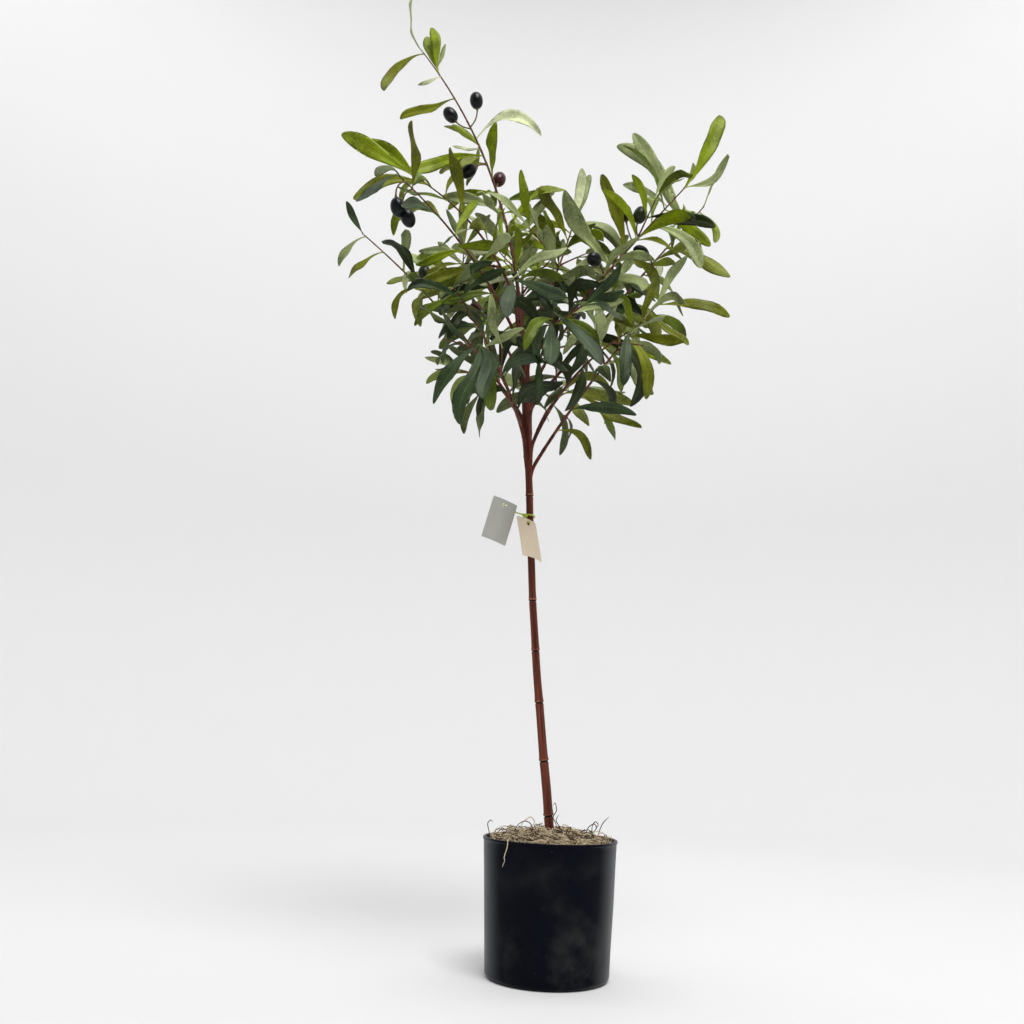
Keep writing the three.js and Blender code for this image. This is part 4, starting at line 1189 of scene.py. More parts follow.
def moss_strands(look):
    """All strands joined: those over the bed, the tufts, some that stand out, and one over the rim."""
    draw = draws_from(77)
    skin = Skin()
    width = look.strand / MM
    for _ in range(look.strands):
        radius, angle = STRAND_AREA * math.sqrt(draw()), 2 * math.pi * draw()
        start = np.array([radius * math.cos(angle), radius * math.sin(angle), 0])
        start[2] = moss_height(start) + 0.4
        heading, length = 360 * draw(), mix(*STRAND_LENGTH, draw())
        curl, lift = STRAND_CURL * draw(), STRAND_LIFT * draw()
        points = laid_strand(moss_strand(start, heading, length, curl, lift, draw), STRAND_REACH)
        shade_of = STRAW if draw() < STRAW_SHARE else TAN if draw() < TAN_SHARE else DARK
        skin.tube(points, strand_radii(len(points), width * mix(*STRAND_WIDTH, draw())), 4, shade_of)
    for x, y, count in TUFTS:
        for _ in range(count):
            across, back = TUFT_SPREAD * mix(-1, 1, draw()), TUFT_SPREAD * mix(-1, 1, draw())
            start = np.array([x + across, y + back, 0])
            start[2] = moss_height(start)
            length, curl = mix(*TUFT_LENGTH, draw()), mix(*TUFT_CURL, draw())
            lift, heading = mix(*TUFT_LIFT, draw()), 2 * math.pi * draw()
            points = laid_strand(moss_strand(start, heading, length, curl, lift, draw), TUFT_REACH)
            shade_of = DARK if draw() < TUFT_DARK else TAN
            skin.tube(points, strand_radii(len(points), width * mix(*TUFT_WIDTH, draw())), 5, shade_of)
    for places, shade_of in PROUD_STRANDS:
        points = curve_through(places, 6)
        skin.tube(points, strand_radii(len(points), width * PROUD_WIDTH), 5, shade_of)
    points = curve_through(HANGING_STRAND, 6)
    skin.tube(points, strand_radii(len(points), width * HANGING_WIDTH), 5, STRAW)
    return skin


def strand_radii(count, width):
    """A strand's radii: thick in the middle and thin at both ends."""
    return width * (0.35 + 0.65 * np.sin(np.linspace(0.15, np.pi - 0.1, count)))


def curve_through(points, steps):
    """A smooth curve through points, with a number of steps between each two."""
    points = np.array(points, float)
    ends = np.concatenate([[2 * points[0] - points[1]], points, [2 * points[-1] - points[-2]]])
    t = (np.arange(steps) / steps)[:, None]
    runs = []
    for a, b, c, d in zip(ends[:-3], ends[1:-2], ends[2:-1], ends[3:]):
        bend = (2 * a - 5 * b + 4 * c - d) * t**2 + (3 * b - a - 3 * c + d) * t**3
        runs.append(b + 0.5 * ((c - a) * t + bend))
    return np.concatenate([*runs, points[-1:]])


def moss_finish(name, colour, dark):
    """Dry strands, flecked with a darker tone."""
    finish = Finish(name, colour, 0.85, Specular_IOR_Level=0.2)
    fleck = finish.noise(420, detail=4)
    finish.colour(finish.blend(finish.ramp(fleck, (0.35, 0.0), (0.7, 1.0)), dark, tuple(colour)))
    finish.bump(fleck, 0.0006, 0.6)
    return finish.material


# Cane and boughs
def trunk_frame(z):
    """The cane's middle at a height, and the two directions across it."""
    ahead = unit(trunk_point(z + 1) - trunk_point(z - 1))
    side = unit(np.cross(BACK, ahead))
    return trunk_point(z), side, np.cross(ahead, side)


def trunk_radius(z):
    """The cane's radius: widest at its foot, and slimmer again towards the fork."""
    cane = mix(FOOT_RADIUS, CANE_RADIUS, smooth(FOOT, CANE_SLIM_BY, z))
    return cane * mix(1, TIP_RADIUS / CANE_RADIUS, smooth(TIP_FROM, FORK, z))


# A joint's collar: offsets along the cane and the share of its radius there. The gap and the lip are
# stretches of it with a finish of their own. The gap's dark is painted shade in the joint's step, and the
# lip's pale colour a painted highlight on its edge.
COLLAR_OFFSETS = (-6, -2.6, -1.1, -0.5, 0.0, 0.5, 1.4, 3.0, 7.0, 12.0)
COLLAR_SHARES = (1.0, 1.03, 1.04, 0.86, 0.86, 1.13, 1.15, 1.06, 1.01, 1.0)
COLLAR_GAP, COLLAR_LIP, COLLAR_END = -1.1, 0.4, 1.4
CANE_SIDES, CANE_STEP, GROOVE_SPREAD = 40, 2.5, 3.4


def cane_skin(look):
    """The cane: fine grooves along it, and at each joint a dark gap under a proud lip. The gap's dark is
    painted shade, and the lip's pale colour a painted highlight.
    """
    heights = set(np.arange(FOOT, FORK + 0.1, CANE_STEP).round(2).tolist())
    for joint in JOINTS:
        heights |= {round(joint + offset, 2) for offset in COLLAR_OFFSETS}
    angles = np.arange(CANE_SIDES) * 2 * np.pi / CANE_SIDES
    rows, looks = [], []
    for z in sorted(heights):
        point, side, over = trunk_frame(z)
        offset = min((z - joint for joint in JOINTS), key=abs)
        swell = float(np.interp(offset, COLLAR_OFFSETS, COLLAR_SHARES))
        ring = np.cos(angles)[:, None] * side + np.sin(angles)[:, None] * over
        wide = ripple(ring * GROOVE_SPREAD + UP * z * 0.01, 1.6, 31)
        narrow = ripple(ring * GROOVE_SPREAD + UP * z * 0.03, 0.9, 32)
        grooves = look.relief / MM * (wide + 0.6 * narrow)[:, None]
        flats = 0.12 * math.sin(z / 11) * np.cos(angles)[:, None]
        rows.append(point + ring * (trunk_radius(z) * swell + (grooves + flats)))
        # Faces in the gap take the painted shade, faces on the lip the painted highlight
        in_gap, in_lip = COLLAR_GAP <= offset < COLLAR_LIP, COLLAR_LIP <= offset < COLLAR_END
        looks.append(2 if in_gap else 1 if in_lip else 0)
    look_rows = np.repeat(np.array(looks[:-1])[:, None], CANE_SIDES, axis=1)
    skin = Skin()
    skin.sheet(np.array(rows), look_rows, closed=True, caps=(True, True))
    return skin


# The bundle of boughs round the cane: its lowest end, the longest run up it, a bough's distance from
# the cane's middle and its radius at the foot and the top of that run
BUNDLE_FOOT, BUNDLE_RUN, BUNDLE_OFFSET, BUNDLED_RADIUS = 434, 96, 3.5, (1.2, 1.8)
# How far apart the feet start, how boughs twist round the cane, and how far up one stands clear of it
BUNDLE_SPREAD, BUNDLE_TWIST, BUNDLE_EASE = 10, (-0.9, 0.9), 26
# Stems are a little slimmer here than the part's own solids
STEM_SLIM = 0.76
# Steps along boughs and stems, and their sides and the spacing of their knuckles, as for side shoots
BOUGH_STEP, BOUGH_FINE_STEP, STEM_STEP = 5, 1.8, 2.2
BOUGH_SIDES, STEM_SIDES, SHOOT_SIDES = 12, 8, 6
BOUGH_KNUCKLES, STEM_KNUCKLES, SHOOT_KNUCKLES = 34, 17, 12
# A shoot's radius at its tip, and how far shoots and stalks run past their ends, as a share of them
SHOOT_TIP, PAST_END = 0.55, 1.03
# An olive's stalk: shares of its length and its radius there, with a little cap at the olive
STALK_SHARES, STALK_RADII = (0, 0.1, 0.85, 0.97, 1.03), (1.3, 0.75, 0.8, 1.7, 1.9)


def stem_radius(grown, distance):
    """The radius of a spray's stem, slimmer towards its tip."""
    return STEM_SLIM * mix(LIMB_ROOT, LIMB_TIP, (distance / grown.spray.length) ** LIMB_TAPER)


def bough_path(grown):
    """A bough's run: up the cane's bundle as one strand of it, then out along its line to its leaves."""
    line, spray = grown.line, grown.spray
    draw = draws_from(spray.seed + 60)
    leave = 0
    while off_cane(line.place(leave).point) < BUNDLE_OFFSET:
        leave += 0.5
    top = line.place(leave).point[2]
    foot = max(BUNDLE_FOOT + BUNDLE_SPREAD * draw(), top - BUNDLE_RUN * mix(0.6, 1, draw()))
    twist = mix(*BUNDLE_TWIST, draw())
    points, radii = [], []
    for z in np.linspace(foot, top, max(3, round((top - foot) / BOUGH_STEP))):
        point, side, over = trunk_frame(z)
        angle = math.radians(spray.heading + twist * (top - z))
        away = BUNDLE_OFFSET * mix(0.25, 1, smooth(foot, foot + BUNDLE_EASE, z))
        points.append(point + (side * math.cos(angle) + over * math.sin(angle)) * away)
        radii.append(mix(*BUNDLED_RADIUS, smooth(foot, top, z)))
    for distance in np.arange(leave + 4, spray.bare, BOUGH_STEP):
        points.append(line.place(distance).point)
        radii.append(stem_radius(grown, distance))
    points.append(line.place(spray.bare).point)
    radii.append(stem_radius(grown, spray.bare))
    points, radii = np.array(points), np.array(radii)
    for _ in range(3):
        points[1:-1] = (points[:-2] + 2 * points[1:-1] + points[2:]) / 4
        radii[1:-1] = (radii[:-2] + 2 * radii[1:-1] + radii[2:]) / 4
    return points, radii


def distances_along(points):
    """How far each point of a run lies along it."""
    return np.concatenate([[0], np.cumsum(np.linalg.norm(np.diff(points, axis=0), axis=1))])


def even_run(points, radii, step):
    """The same run in even short steps."""
    along = distances_along(points)
    at = np.linspace(0, along[-1], max(3, round(along[-1] / step)))
    places = np.stack([np.interp(at, along, points[:, k]) for k in range(3)], axis=1)
    return places, np.interp(at, along, radii)


def knuckled(points, radii, spacing, seed):
    """Radii with small rings of knuckles, as moulded stems have."""
    draw = draws_from(seed)
    along = distances_along(points)
    swell = np.zeros(len(points))
    at = spacing * draw()
    while at < along[-1]:
        swell = np.maximum(swell, np.exp(-(((along - at) / 1.3) ** 2)))
        at += spacing * mix(0.7, 1.3, draw())
    return radii * (1 + 0.2 * swell)


def bark_tube(skin, points, radii, sides, relief, seed, look=0, caps=(True, True)):
    """A tube with shallow grooves along it."""
    angles = np.arange(sides) * 2 * np.pi / sides
    rings = np.stack([np.cos(angles), np.sin(angles), 0 * angles], axis=1)
    grooves = ripple(rings * 3, 1.7, seed)
    along = np.linspace(0, 9, len(points))
    wander = np.array([ripple(rings * 2 + UP * a, 3.1, seed + 1) for a in along])
    widths = radii[:, None] + relief * (grooves[None] + wander)
    skin.tube(points, widths, sides, look, caps)


def boughs_skin(look):
    """All boughs joined, each up to where its leaves begin."""
    skin = Skin()
    for grown in grow_tree():
        if grown.spray.bare == 0:
            continue
        points, radii = even_run(*bough_path(grown), BOUGH_FINE_STEP)
        radii = knuckled(points, radii, BOUGH_KNUCKLES, grown.spray.seed)
        bark_tube(skin, points, radii, BOUGH_SIDES, look.relief / MM, grown.spray.seed)
    return skin


def twigs_skin(look):
    """Stems beyond the boughs, side shoots and olive stalks with their little caps."""
    skin = Skin()
    for grown in grow_tree():
        spray = grown.spray
        distances = np.arange(max(spray.bare - 1, 0), spray.length + 0.1, STEM_STEP)
        points = np.array([grown.line.place(distance).point for distance in distances])
        radii = np.array([stem_radius(grown, distance) for distance in distances])
        radii = knuckled(points, radii, STEM_KNUCKLES, spray.seed + 7)
        bark_tube(skin, points, radii, STEM_SIDES, look.relief / MM * 0.7, spray.seed + 9)
        for number, arc in enumerate(grown.shoots):
            t = np.linspace(0, PAST_END, 16)
            points = arc.place(t).point
            radii = knuckled(points, mix(SHOOT_RADIUS, SHOOT_TIP, t), SHOOT_KNUCKLES, number + 300)
            skin.tube(points, radii, SHOOT_SIDES, 0)
        for arc, *_ in grown.olives:
            t = np.linspace(0, PAST_END, 14)
            skin.tube(arc.place(t).point, np.interp(t, STALK_SHARES, STALK_RADII), STEM_SIDES, 1)
    return skin


def bark_finish(name, colour, streak, roughness=0.42, wear_and_foot_light=1.0):
    """Moulded bark: dark streaks and pale glints along the limb, a satin shine, and, when the foot factor
    is
    over 1, a paler foot: painted light from the floor on the limb's lower part."""
    finish = Finish(name, colour, roughness, Specular_IOR_Level=0.15)
    streaks = finish.noise(330, (1, 1, 0.045), detail=4, lean=LEAN)
    blotch = finish.noise(60, detail=3)
    share = finish.ramp(streaks, (0.46, 0.0), (0.6, 0.95))
    tone = finish.blend(share, tuple(colour), tuple(streak))
    glints = finish.ramp(finish.noise(260, (1, 1, 0.03), detail=3, lean=LEAN), (0.55, 0.0), (0.65, 0.7))
    tone = finish.blend(glints, tone, shade(colour, 2.0))
    parts = finish.node("ShaderNodeSeparateXYZ")
    finish.join(finish.places, parts.inputs[0])
    # Painted light from the floor: the tone grows paler by the foot factor from 0.5 m down to 0.12 m
    foot = finish.ramp(parts.outputs[2], (0.12, 1.0), (0.5, 0.0))
    tone = finish.blend(foot, tone, finish.blend(1.0, tone, (wear_and_foot_light, wear_and_foot_light, wear_and_foot_light), "MULTIPLY"))
    finish.colour(finish.blend(finish.ramp(blotch, (0.45, 0.0), (0.8, 0.35)), tone, shade(colour, 1.5)))
    finish.rough(blotch, roughness - 0.1, roughness + 0.16)
    finish.bump(streaks, 0.0003, 0.5)
    return finish.material


# Leaves: their tints, and the tints that each mood draws from. The moods paint light and shade into the
# leaves' colour: fresh and pale tints are partly painted light, deep partly and dark wholly painted shade.
# Leaves near the cane and low in the crown take the shaded inner mood, painted shade of the crown's core.
TINTS = ("deep", "mid", "olive", "fresh", "grey", "pale", "dark")
MOODS = {
    "sunny": ("fresh", "grey", "olive", "olive", "mid", "grey", "pale", "fresh"),
    "mixed": ("mid", "olive", "dark", "grey", "fresh", "olive", "deep", "fresh"),
    "shade": ("deep", "dark", "mid", "deep", "grey", "dark", "dark", "deep"),
    "shaded_inner": ("deep", "dark", "mid", "dark", "deep", "dark", "dark", "deep"),
}
INNER_REACH, INNER_TOP = 75, 650
# A blade's stations along it and its width there: a narrow neck, widest past the middle, a blunt tip
LEAF_ROWS = np.array(
    [0.03, 0.08, 0.14, 0.21, 0.29, 0.38, 0.47, 0.56, 0.65, 0.74, 0.82, 0.89, 0.94, 0.975, 0.993]
)
LEAF_WIDTHS = np.array(
    [0.09, 0.13, 0.21, 0.35, 0.52, 0.7, 0.85, 0.95, 1.0, 0.97, 0.86, 0.68, 0.49, 0.3, 0.13]
)
LEAF_ACROSS = np.array([-1, -0.68, -0.34, -0.06, 0.06, 0.34, 0.68, 1])
# A named leaf is turned less, so that it stays where it is wanted
NAMED_TWIST = 0.4
VEINS, UNDER_SHARE, RIB_SHARE = 7, 0.24, 0.16
# What is drawn for each leaf, from 0 to 1: the tint, the width and how strongly the blade is bent
LeafShape = namedtuple("LeafShape", "tint width sway swing curl turn fold cup waves shift")
LEAF_PIECES = {
    "leaves_top": ("leader", "left_high", "crown_top"),
    "leaves_left": ("left_low", "left_olive", "left_fork"),
    "leaves_right": ("right_high", "right_back", "right_low"),
    "leaves_front": ("right_front", "front_left", "front_right", "front_high"),
    "leaves_back": ("back_right", "back_left", "back_high", "back_low_right", "back_low_left"),
}


def add_leaf(skin, leaf, look, draw, mood):
    """One leaf: a folded, wavy and twisted blade of two faces with a midrib, on a short stalk."""
    shape = LeafShape(*[draw() for _ in LeafShape._fields])
    # Low leaves near the cane draw the darkest tints: painted shade of the crown's core.
    shaded_inner = leaf.root[2] < INNER_TOP and off_cane(leaf.root) < INNER_REACH
    drawn = MOODS["shaded_inner" if shaded_inner else mood][int(shape.tint * 7.999)]
    tint = TINTS.index(leaf.tint if leaf.tint in TINTS else drawn)
    t = LEAF_ROWS[:, None]
    place = leaf.place(LEAF_ROWS)
    half = leaf.width / 2 * look.width * mix(0.9, 1.1, shape.width) * LEAF_WIDTHS[:, None]
    # The blade leaves its arc a little: it sways to one side, curls at its end and turns about its rib
    swing = np.sin(t * math.pi * mix(0.7, 1.9, shape.swing))
    sway = leaf.length * look.sway * mix(-1, 1, shape.sway) * swing * t
    hook = t**2.6 - 0.5 * np.sin(math.pi * t) * t
    curl = leaf.length * look.curl * mix(-1, 0.9, shape.curl) * hook
    turn = look.twist * (NAMED_TWIST if leaf.tint else 1) * mix(-1, 1, shape.turn) * (t - 0.25)
    side = place.side * np.cos(turn) + place.over * np.sin(turn)
    over = place.over * np.cos(turn) - place.side * np.sin(turn)
    middle = place.point + sway * place.side + curl * place.over
    s = LEAF_ACROSS[None]
    fold = math.tan(look.fold * mix(0.3, 1.8, shape.fold))
    lift = half * (fold * abs(s) + mix(-0.3, 0.1, shape.cup) * s**2)
    waves, phase = mix(1.1, 2.4, shape.waves), 2 * math.pi * shape.shift
    edge = np.sin(2 * math.pi * waves * t + phase + np.where(s > 0, 1.9, 0))
    lift = lift + look.wave * mix(0.3, 1.6, shape.cup) * half * s**2 * edge
    thick = look.thickness / MM
    rib = abs(s) < 0.1
    top = lift + thick / 2 - 0.1 * rib
    low = lift - thick / 2 * (abs(s) < 1) - np.where(rib, 0.4 * (1 - t), 0)
    faces = []
    for heights, order in ((top, slice(None)), (low, slice(-2, 0, -1))):
        spread = (s * half)[..., None] * side[:, None] + heights[..., None] * over[:, None]
        faces.append((middle[:, None] + spread)[:, order])
    across = np.concatenate([s[0], s[0][slice(-2, 0, -1)]])
    marks = np.stack(np.broadcast_arrays(across[None] / 2 + 0.5, t), axis=-1)
    upper, under, ribbed = 3 * tint, 3 * tint + 1, 3 * tint + 2
    looks = [upper] * 3 + [ribbed] + [upper] * 3 + [under] * 3 + [ribbed] + [under] * 3
    blade = np.concatenate(faces, axis=1)
    skin.sheet(blade, np.array(looks)[None], closed=True, marks=marks, caps=(True, True))
    stalk = leaf.place(np.array([0.0, 0.035, 0.07, 0.11])).point
    skin.tube(stalk, np.array([1.0, 0.7, 0.55, 0.35]), 6, ribbed)


def leaf_skins(look):
    """The leaves' pieces: all leaves of a few sprays in each."""
    crown = {grown.spray.name: grown for grown in grow_tree()}
    for piece, names in LEAF_PIECES.items():
        skin = Skin()
        for name in names:
            grown = crown[name]
            draw = draws_from(grown.spray.seed + 900)
            for leaf in grown.leaves:
                add_leaf(skin, leaf, look, draw, grown.spray.mood)
        yield piece, skin, ["foliage_" + name for name in names]


def leaf_finish(name, colour, roughness, veins):
    """Printed leaf cloth: clouds, specks and broken veins along the blade, a painted sheen that pales it
    near the stalk, and a soft shine."""
    finish = Finish(name, colour, roughness, Specular_IOR_Level=0.2)
    marks = finish.node("ShaderNodeUVMap", uv_map="UVMap").outputs[0]
    parts = finish.node("ShaderNodeSeparateXYZ")
    finish.join(marks, parts.inputs[0])
    across, along = parts.outputs[0], parts.outputs[1]
    cloth = finish.noise(900, detail=2)
    cloud = finish.noise(38, detail=3)
    spread = finish.maths("MULTIPLY", across, 2 * math.pi * VEINS)
    wander = finish.maths("ADD", spread, finish.maths("MULTIPLY", cloud, 9))
    line = finish.maths("MULTIPLY", finish.maths("ADD", finish.maths("SINE", wander), 1), 0.5)
    broken = finish.ramp(finish.noise(150, detail=4), (0.38, 0.25), (0.6, 1.0))
    vein = finish.maths("MULTIPLY", finish.maths("POWER", line, 5), broken)
    # Painted sheen: the blade is made paler towards its stalk end, and its veins show most there.
    neck = finish.ramp(along, (0.05, 1.0), (0.62, 0.12), (1.0, 0.0))
    clouds = finish.ramp(cloud, (0.36, 0.0), (0.64, 0.9))
    tone = finish.blend(clouds, shade(colour, 1.3), shade(colour, 0.36))
    tone = finish.blend(finish.maths("MULTIPLY", neck, 0.38), tone, shade(colour, 2.3))
    seen = finish.maths("MULTIPLY", vein, finish.maths("ADD", neck, 0.25))
    share = finish.maths("MULTIPLY", seen, veins)
    specks = finish.ramp(finish.noise(430, detail=4), (0.47, 0.0), (0.68, 0.42))
    tone = finish.blend(specks, tone, shade(colour, 2.0))
    finish.colour(finish.blend(share, tone, shade(colour, 3.0)))
    finish.rough(cloud, roughness - 0.1, roughness + 0.12)
    height = finish.maths("ADD", vein, finish.maths("MULTIPLY", cloth, 0.35))
    finish.bump(height, 0.0003, 0.6)
    return finish.material


def leaf_finishes(look):
    """For each tint: the upper face, the underside and the midrib."""
    finishes = []
    for tint in TINTS:
        colour = tuple(getattr(look, tint))
        under = tuple(mix(np.array(colour) * 1.2, np.array(look.under), UNDER_SHARE))
        rib = tuple(mix(np.array(colour) * 1.25, np.array(look.rib), RIB_SHARE))
        finishes.append(leaf_finish("leaf_" + tint, colour, 0.44, 0.42))
        finishes.append(leaf_finish("leaf_under_" + tint, under, 0.6, 0.36))
        finishes.append(leaf_finish("leaf_rib_" + tint, rib, 0.48, 0.0))
    return finishes


# Olives
OLIVE_TINTS = ("black", "brown", "green")
OLIVE_RINGS, OLIVE_SIDES, OLIVE_PLUMP = 18, 24, 0.92


def olives_skin(look):
    """Olives: a plump oval with a faint point, a dimple at its stalk and a colour of its own."""
    skin = Skin()
    draw = draws_from(61)
    turns = np.linspace(0.04, np.pi - 0.02, OLIVE_RINGS)
    angles = np.arange(OLIVE_SIDES) * 2 * np.pi / OLIVE_SIDES
    for grown in grow_tree():
        for _, centre, end, tint in grown.olives:
            rows = []
            for turn in turns:
                reach = look.half / MM * -math.cos(turn)
                width = look.radius / MM * math.sin(turn) ** OLIVE_PLUMP
                reach += 0.5 * smooth(0.5, 0.0, turn) + 0.5 * smooth(np.pi - 0.35, np.pi, turn)
                ring = np.cos(angles)[:, None] * end.side + np.sin(angles)[:, None] * -end.over
                rows.append(centre + end.ahead * reach + ring * width)
            # Of five, two are black, two brown and one green
            drawn = OLIVE_TINTS[int(draw() * 4.999) // 2]
            shade_of = OLIVE_TINTS.index(tint if tint in OLIVE_TINTS else drawn)
            skin.sheet(np.array(rows), shade_of, closed=True, caps=(True, True))
    return skin


def olive_finish(name, colour, bloom):
    """A glossy olive with faint lighter flecks."""
    finish = Finish(name, colour, 0.3, Specular_IOR_Level=0.2, Coat_Weight=0.12, Coat_Roughness=0.1)
    fleck = finish.noise(260, detail=3)
    cloud = finish.noise(90, detail=2)
    share = finish.ramp(fleck, (0.56, 0.0), (0.78, 0.6))
    finish.colour(finish.blend(share, tuple(colour), bloom))
    finish.rough(cloud, 0.24, 0.4)
    finish.bump(fleck, 0.0002, 0.12)
    return finish.material


# Tie and tags: the tie's ring round the cane, its two ends as steps from the tags' holes, and its knot
TIE_HEIGHT, TIE_CLEAR, TIE_PITCH, TIE_FROM, TIE_TURN, TIE_POINTS = 408, 0.5, 2.8, 235, 325, 10
TIE_LEFT = ((0.9, -3.4, -1.2), (0, 0, 0), (-0.6, 3.9, -1.2), (5, 7.6, -3.4), (14, 7.4, -7.4))
TIE_RIGHT = ((-4.7, 7.5, 3), (-2.6, 3.2, -0.4), (0, 0, 0), (2.2, -2.6, -0.6))
KNOT_BACK, KNOT_PROUD, KNOT_SIZE, KNOT_POINTS = 18, 1.2, 0.8, 46
TAG_HOLE, TAG_HOLE_DOWN, TAG_CORNER = 2.2, 5, 1
# Shares of the way from a tag's hole to its edge
TAG_SHARES = (0, 0.04, 0.15, 0.32, 0.5, 0.68, 0.85, 0.97, 1)


def tie_skin(look):
    """A thin wire once round the cane, its ends led through the tags' holes, with a small knot."""
    wire = look.wire / MM
    centre = trunk_point(TIE_HEIGHT)
    radius = trunk_radius(TIE_HEIGHT) + TIE_CLEAR + wire
    left, right = np.array(TAG_HOLES["tag_left"]), np.array(TAG_HOLES["tag_right"])
    points = [left + step for step in TIE_LEFT]
    for i in range(TIE_POINTS + 1):
        angle = math.radians(TIE_FROM + TIE_TURN * i / TIE_POINTS)
        around = np.array([math.cos(angle), math.sin(angle), 0]) * radius
        points.append(centre + around - UP * TIE_PITCH * (i / TIE_POINTS - 0.5))
    points += [right + step for step in TIE_RIGHT]
    skin = Skin()
    run = curve_through(points, 7)
    skin.tube(run, np.full(len(run), wire), 10)
    angle = math.radians(TIE_FROM - KNOT_BACK)
    knot = centre + np.array([math.cos(angle), math.sin(angle), 0]) * (radius + KNOT_PROUD)
    turns = np.linspace(0, 2 * np.pi, KNOT_POINTS)
    across = np.sin(turns) + 2 * np.sin(2 * turns)
    upright = np.cos(turns) - 2 * np.cos(2 * turns)
    loop = np.stack([across, -0.9 * np.sin(3 * turns), upright], axis=1)
    skin.tube(knot + loop * KNOT_SIZE, np.full(KNOT_POINTS, wire), 8)
    return skin


def tag_skin(name, look):
    """A blank card with round corners and a punched hole, a little bowed, hung on the tie."""
    half, length, thick = look.width / MM / 2, look.length / MM, look.thickness / MM
    top, low = TAG_HOLE_DOWN, TAG_HOLE_DOWN - length
    corners = ((half, top, 0), (-half, top, 90), (-half, low, 180), (half, low, 270))
    outline = []
    for x, z, start in corners:
        centre = (x - math.copysign(TAG_CORNER, x), z - TAG_CORNER if z > 0 else z + TAG_CORNER)
        outline += bend_of(centre, TAG_CORNER, start, start + 90, 6)
    outline = np.array(outline)
    edges = np.roll(outline, -1, axis=0)
    dense = np.concatenate([np.linspace(a, b, 6)[:-1] for a, b in zip(outline, edges)])
    angles = np.arctan2(dense[:, 1], dense[:, 0])
    hole = np.stack([np.cos(angles), np.sin(angles)], axis=1) * TAG_HOLE
    rows = []
    for side, order in ((-1, TAG_SHARES), (1, TAG_SHARES[::-1])):
        for share in order:
            plan = mix(hole, dense, share)
            bow = look.bend / MM * ((plan[:, 0] / half) ** 2 + 0.6 * (plan[:, 1] / length) ** 2)
            round_off = 0.5 if share in (0, 1) else 1
            rows.append(np.stack([plan[:, 0], bow + side * thick / 2 * round_off, plan[:, 1]], axis=1))
    rows.append(rows[0])
    turn = np.eye(3)
    for angle, axis in zip(TAG_TURNS[name], "XYZ"):
        turn = np.array(Matrix.Rotation(math.radians(angle), 3, axis)) @ turn
    hang = np.array([0, 0, TAG_HOLE - look.wire / MM - 0.3])
    skin = Skin()
    skin.sheet(np.array(rows) @ turn.T + np.array(TAG_HOLES[name]) - hang, closed=True)
    return skin


def card_finish(name, colour):
    """Smooth card with a faint grain."""
    finish = Finish(name, colour, 0.6, Specular_IOR_Level=0.35)
    fibre = finish.noise(1400, detail=3)
    cloud = finish.noise(80, detail=2)
    share = finish.ramp(cloud, (0.35, 0.0), (0.7, 0.3))
    finish.colour(finish.blend(share, tuple(colour), shade(colour, 0.86)))
    finish.rough(cloud, 0.5, 0.7)
    finish.bump(fibre, 0.0001, 0.3)
    return finish.material


def tie_finish(colour):
    """Plastic-covered wire, a little glossy."""
    finish = Finish("tie_plastic", colour, 0.35, Specular_IOR_Level=0.5)
    cloud = finish.noise(300, detail=2)
    share = finish.ramp(cloud, (0.4, 0.0), (0.7, 0.5))
    finish.colour(finish.blend(share, tuple(colour), shade(colour, 0.7)))
    finish.rough(cloud, 0.3, 0.5)
    return finish.material


# Stage, in metres: the backdrop's curve, the angles in degrees where it starts and ends round the
# tree, how far the open floor reaches in front, and the sheet's columns in each of the two
BACKDROP_CURVE, BACKDROP_FROM, BACKDROP_TO, FLOOR_REACH, STAGE_COLUMNS = 0.9, -40, 220, 6.0, 66
KEY_PLACE, KEY_AIM, KEY_SIZE = (0.4, -1.2, 2.5), (0, 0, 0.5), (1.2, 1.2)
WASH_PLACE, WASH_SIZE = (0.25, 0.7, 2.9), (4.4, 0.8)
# The sky grows from low to bright between these heights of a direction, 0 level and 1 straight up
SKY_FROM, SKY_TO = 0.05, 0.9


def stage_sheet(look):
    """A pale floor that curves up into a backdrop behind and beside the tree and stays open in front."""
    curve = look.backdrop - BACKDROP_CURVE
    run = [(0.0, 0.0), (0.5, 0.0), (1.0, 0.0), (curve, 0.0)]
    run += bend_of((curve, BACKDROP_CURVE), BACKDROP_CURVE, -84, 0, 14)
    run.append((look.backdrop, look.wall))
    flat = [(radius, 0.0) for radius, _ in run[:-1]] + [(FLOOR_REACH, 0.0)]
    spans = ((run, BACKDROP_FROM, BACKDROP_TO), (flat, BACKDROP_TO, BACKDROP_FROM + 360))
    places, quads = [], []
    for profile, start, end in spans:
        angles = np.radians(np.linspace(start, end, STAGE_COLUMNS))
        index = len(places) + np.arange(len(profile) * STAGE_COLUMNS).reshape(-1, STAGE_COLUMNS)
        corners = (index[:-1, :-1], index[1:, :-1], index[1:, 1:], index[:-1, 1:])
        quads += np.stack(corners, axis=-1).reshape(-1, 4).tolist()
        places += [(r * math.cos(a), r * math.sin(a), z) for r, z in profile for a in angles]
    mesh = bpy.data.meshes.new("stage_sheet")
    mesh.from_pydata(places, [], quads)
    mesh.polygons.foreach_set("use_smooth", np.ones(len(quads), bool))
    paper = Finish("stage_paper", tuple(look.floor), 0.7, Specular_IOR_Level=0.15)
    mesh.materials.append(paper.material)
    sheet = bpy.data.objects.new("stage_sheet", mesh)
    bpy.context.collection.objects.link(sheet)


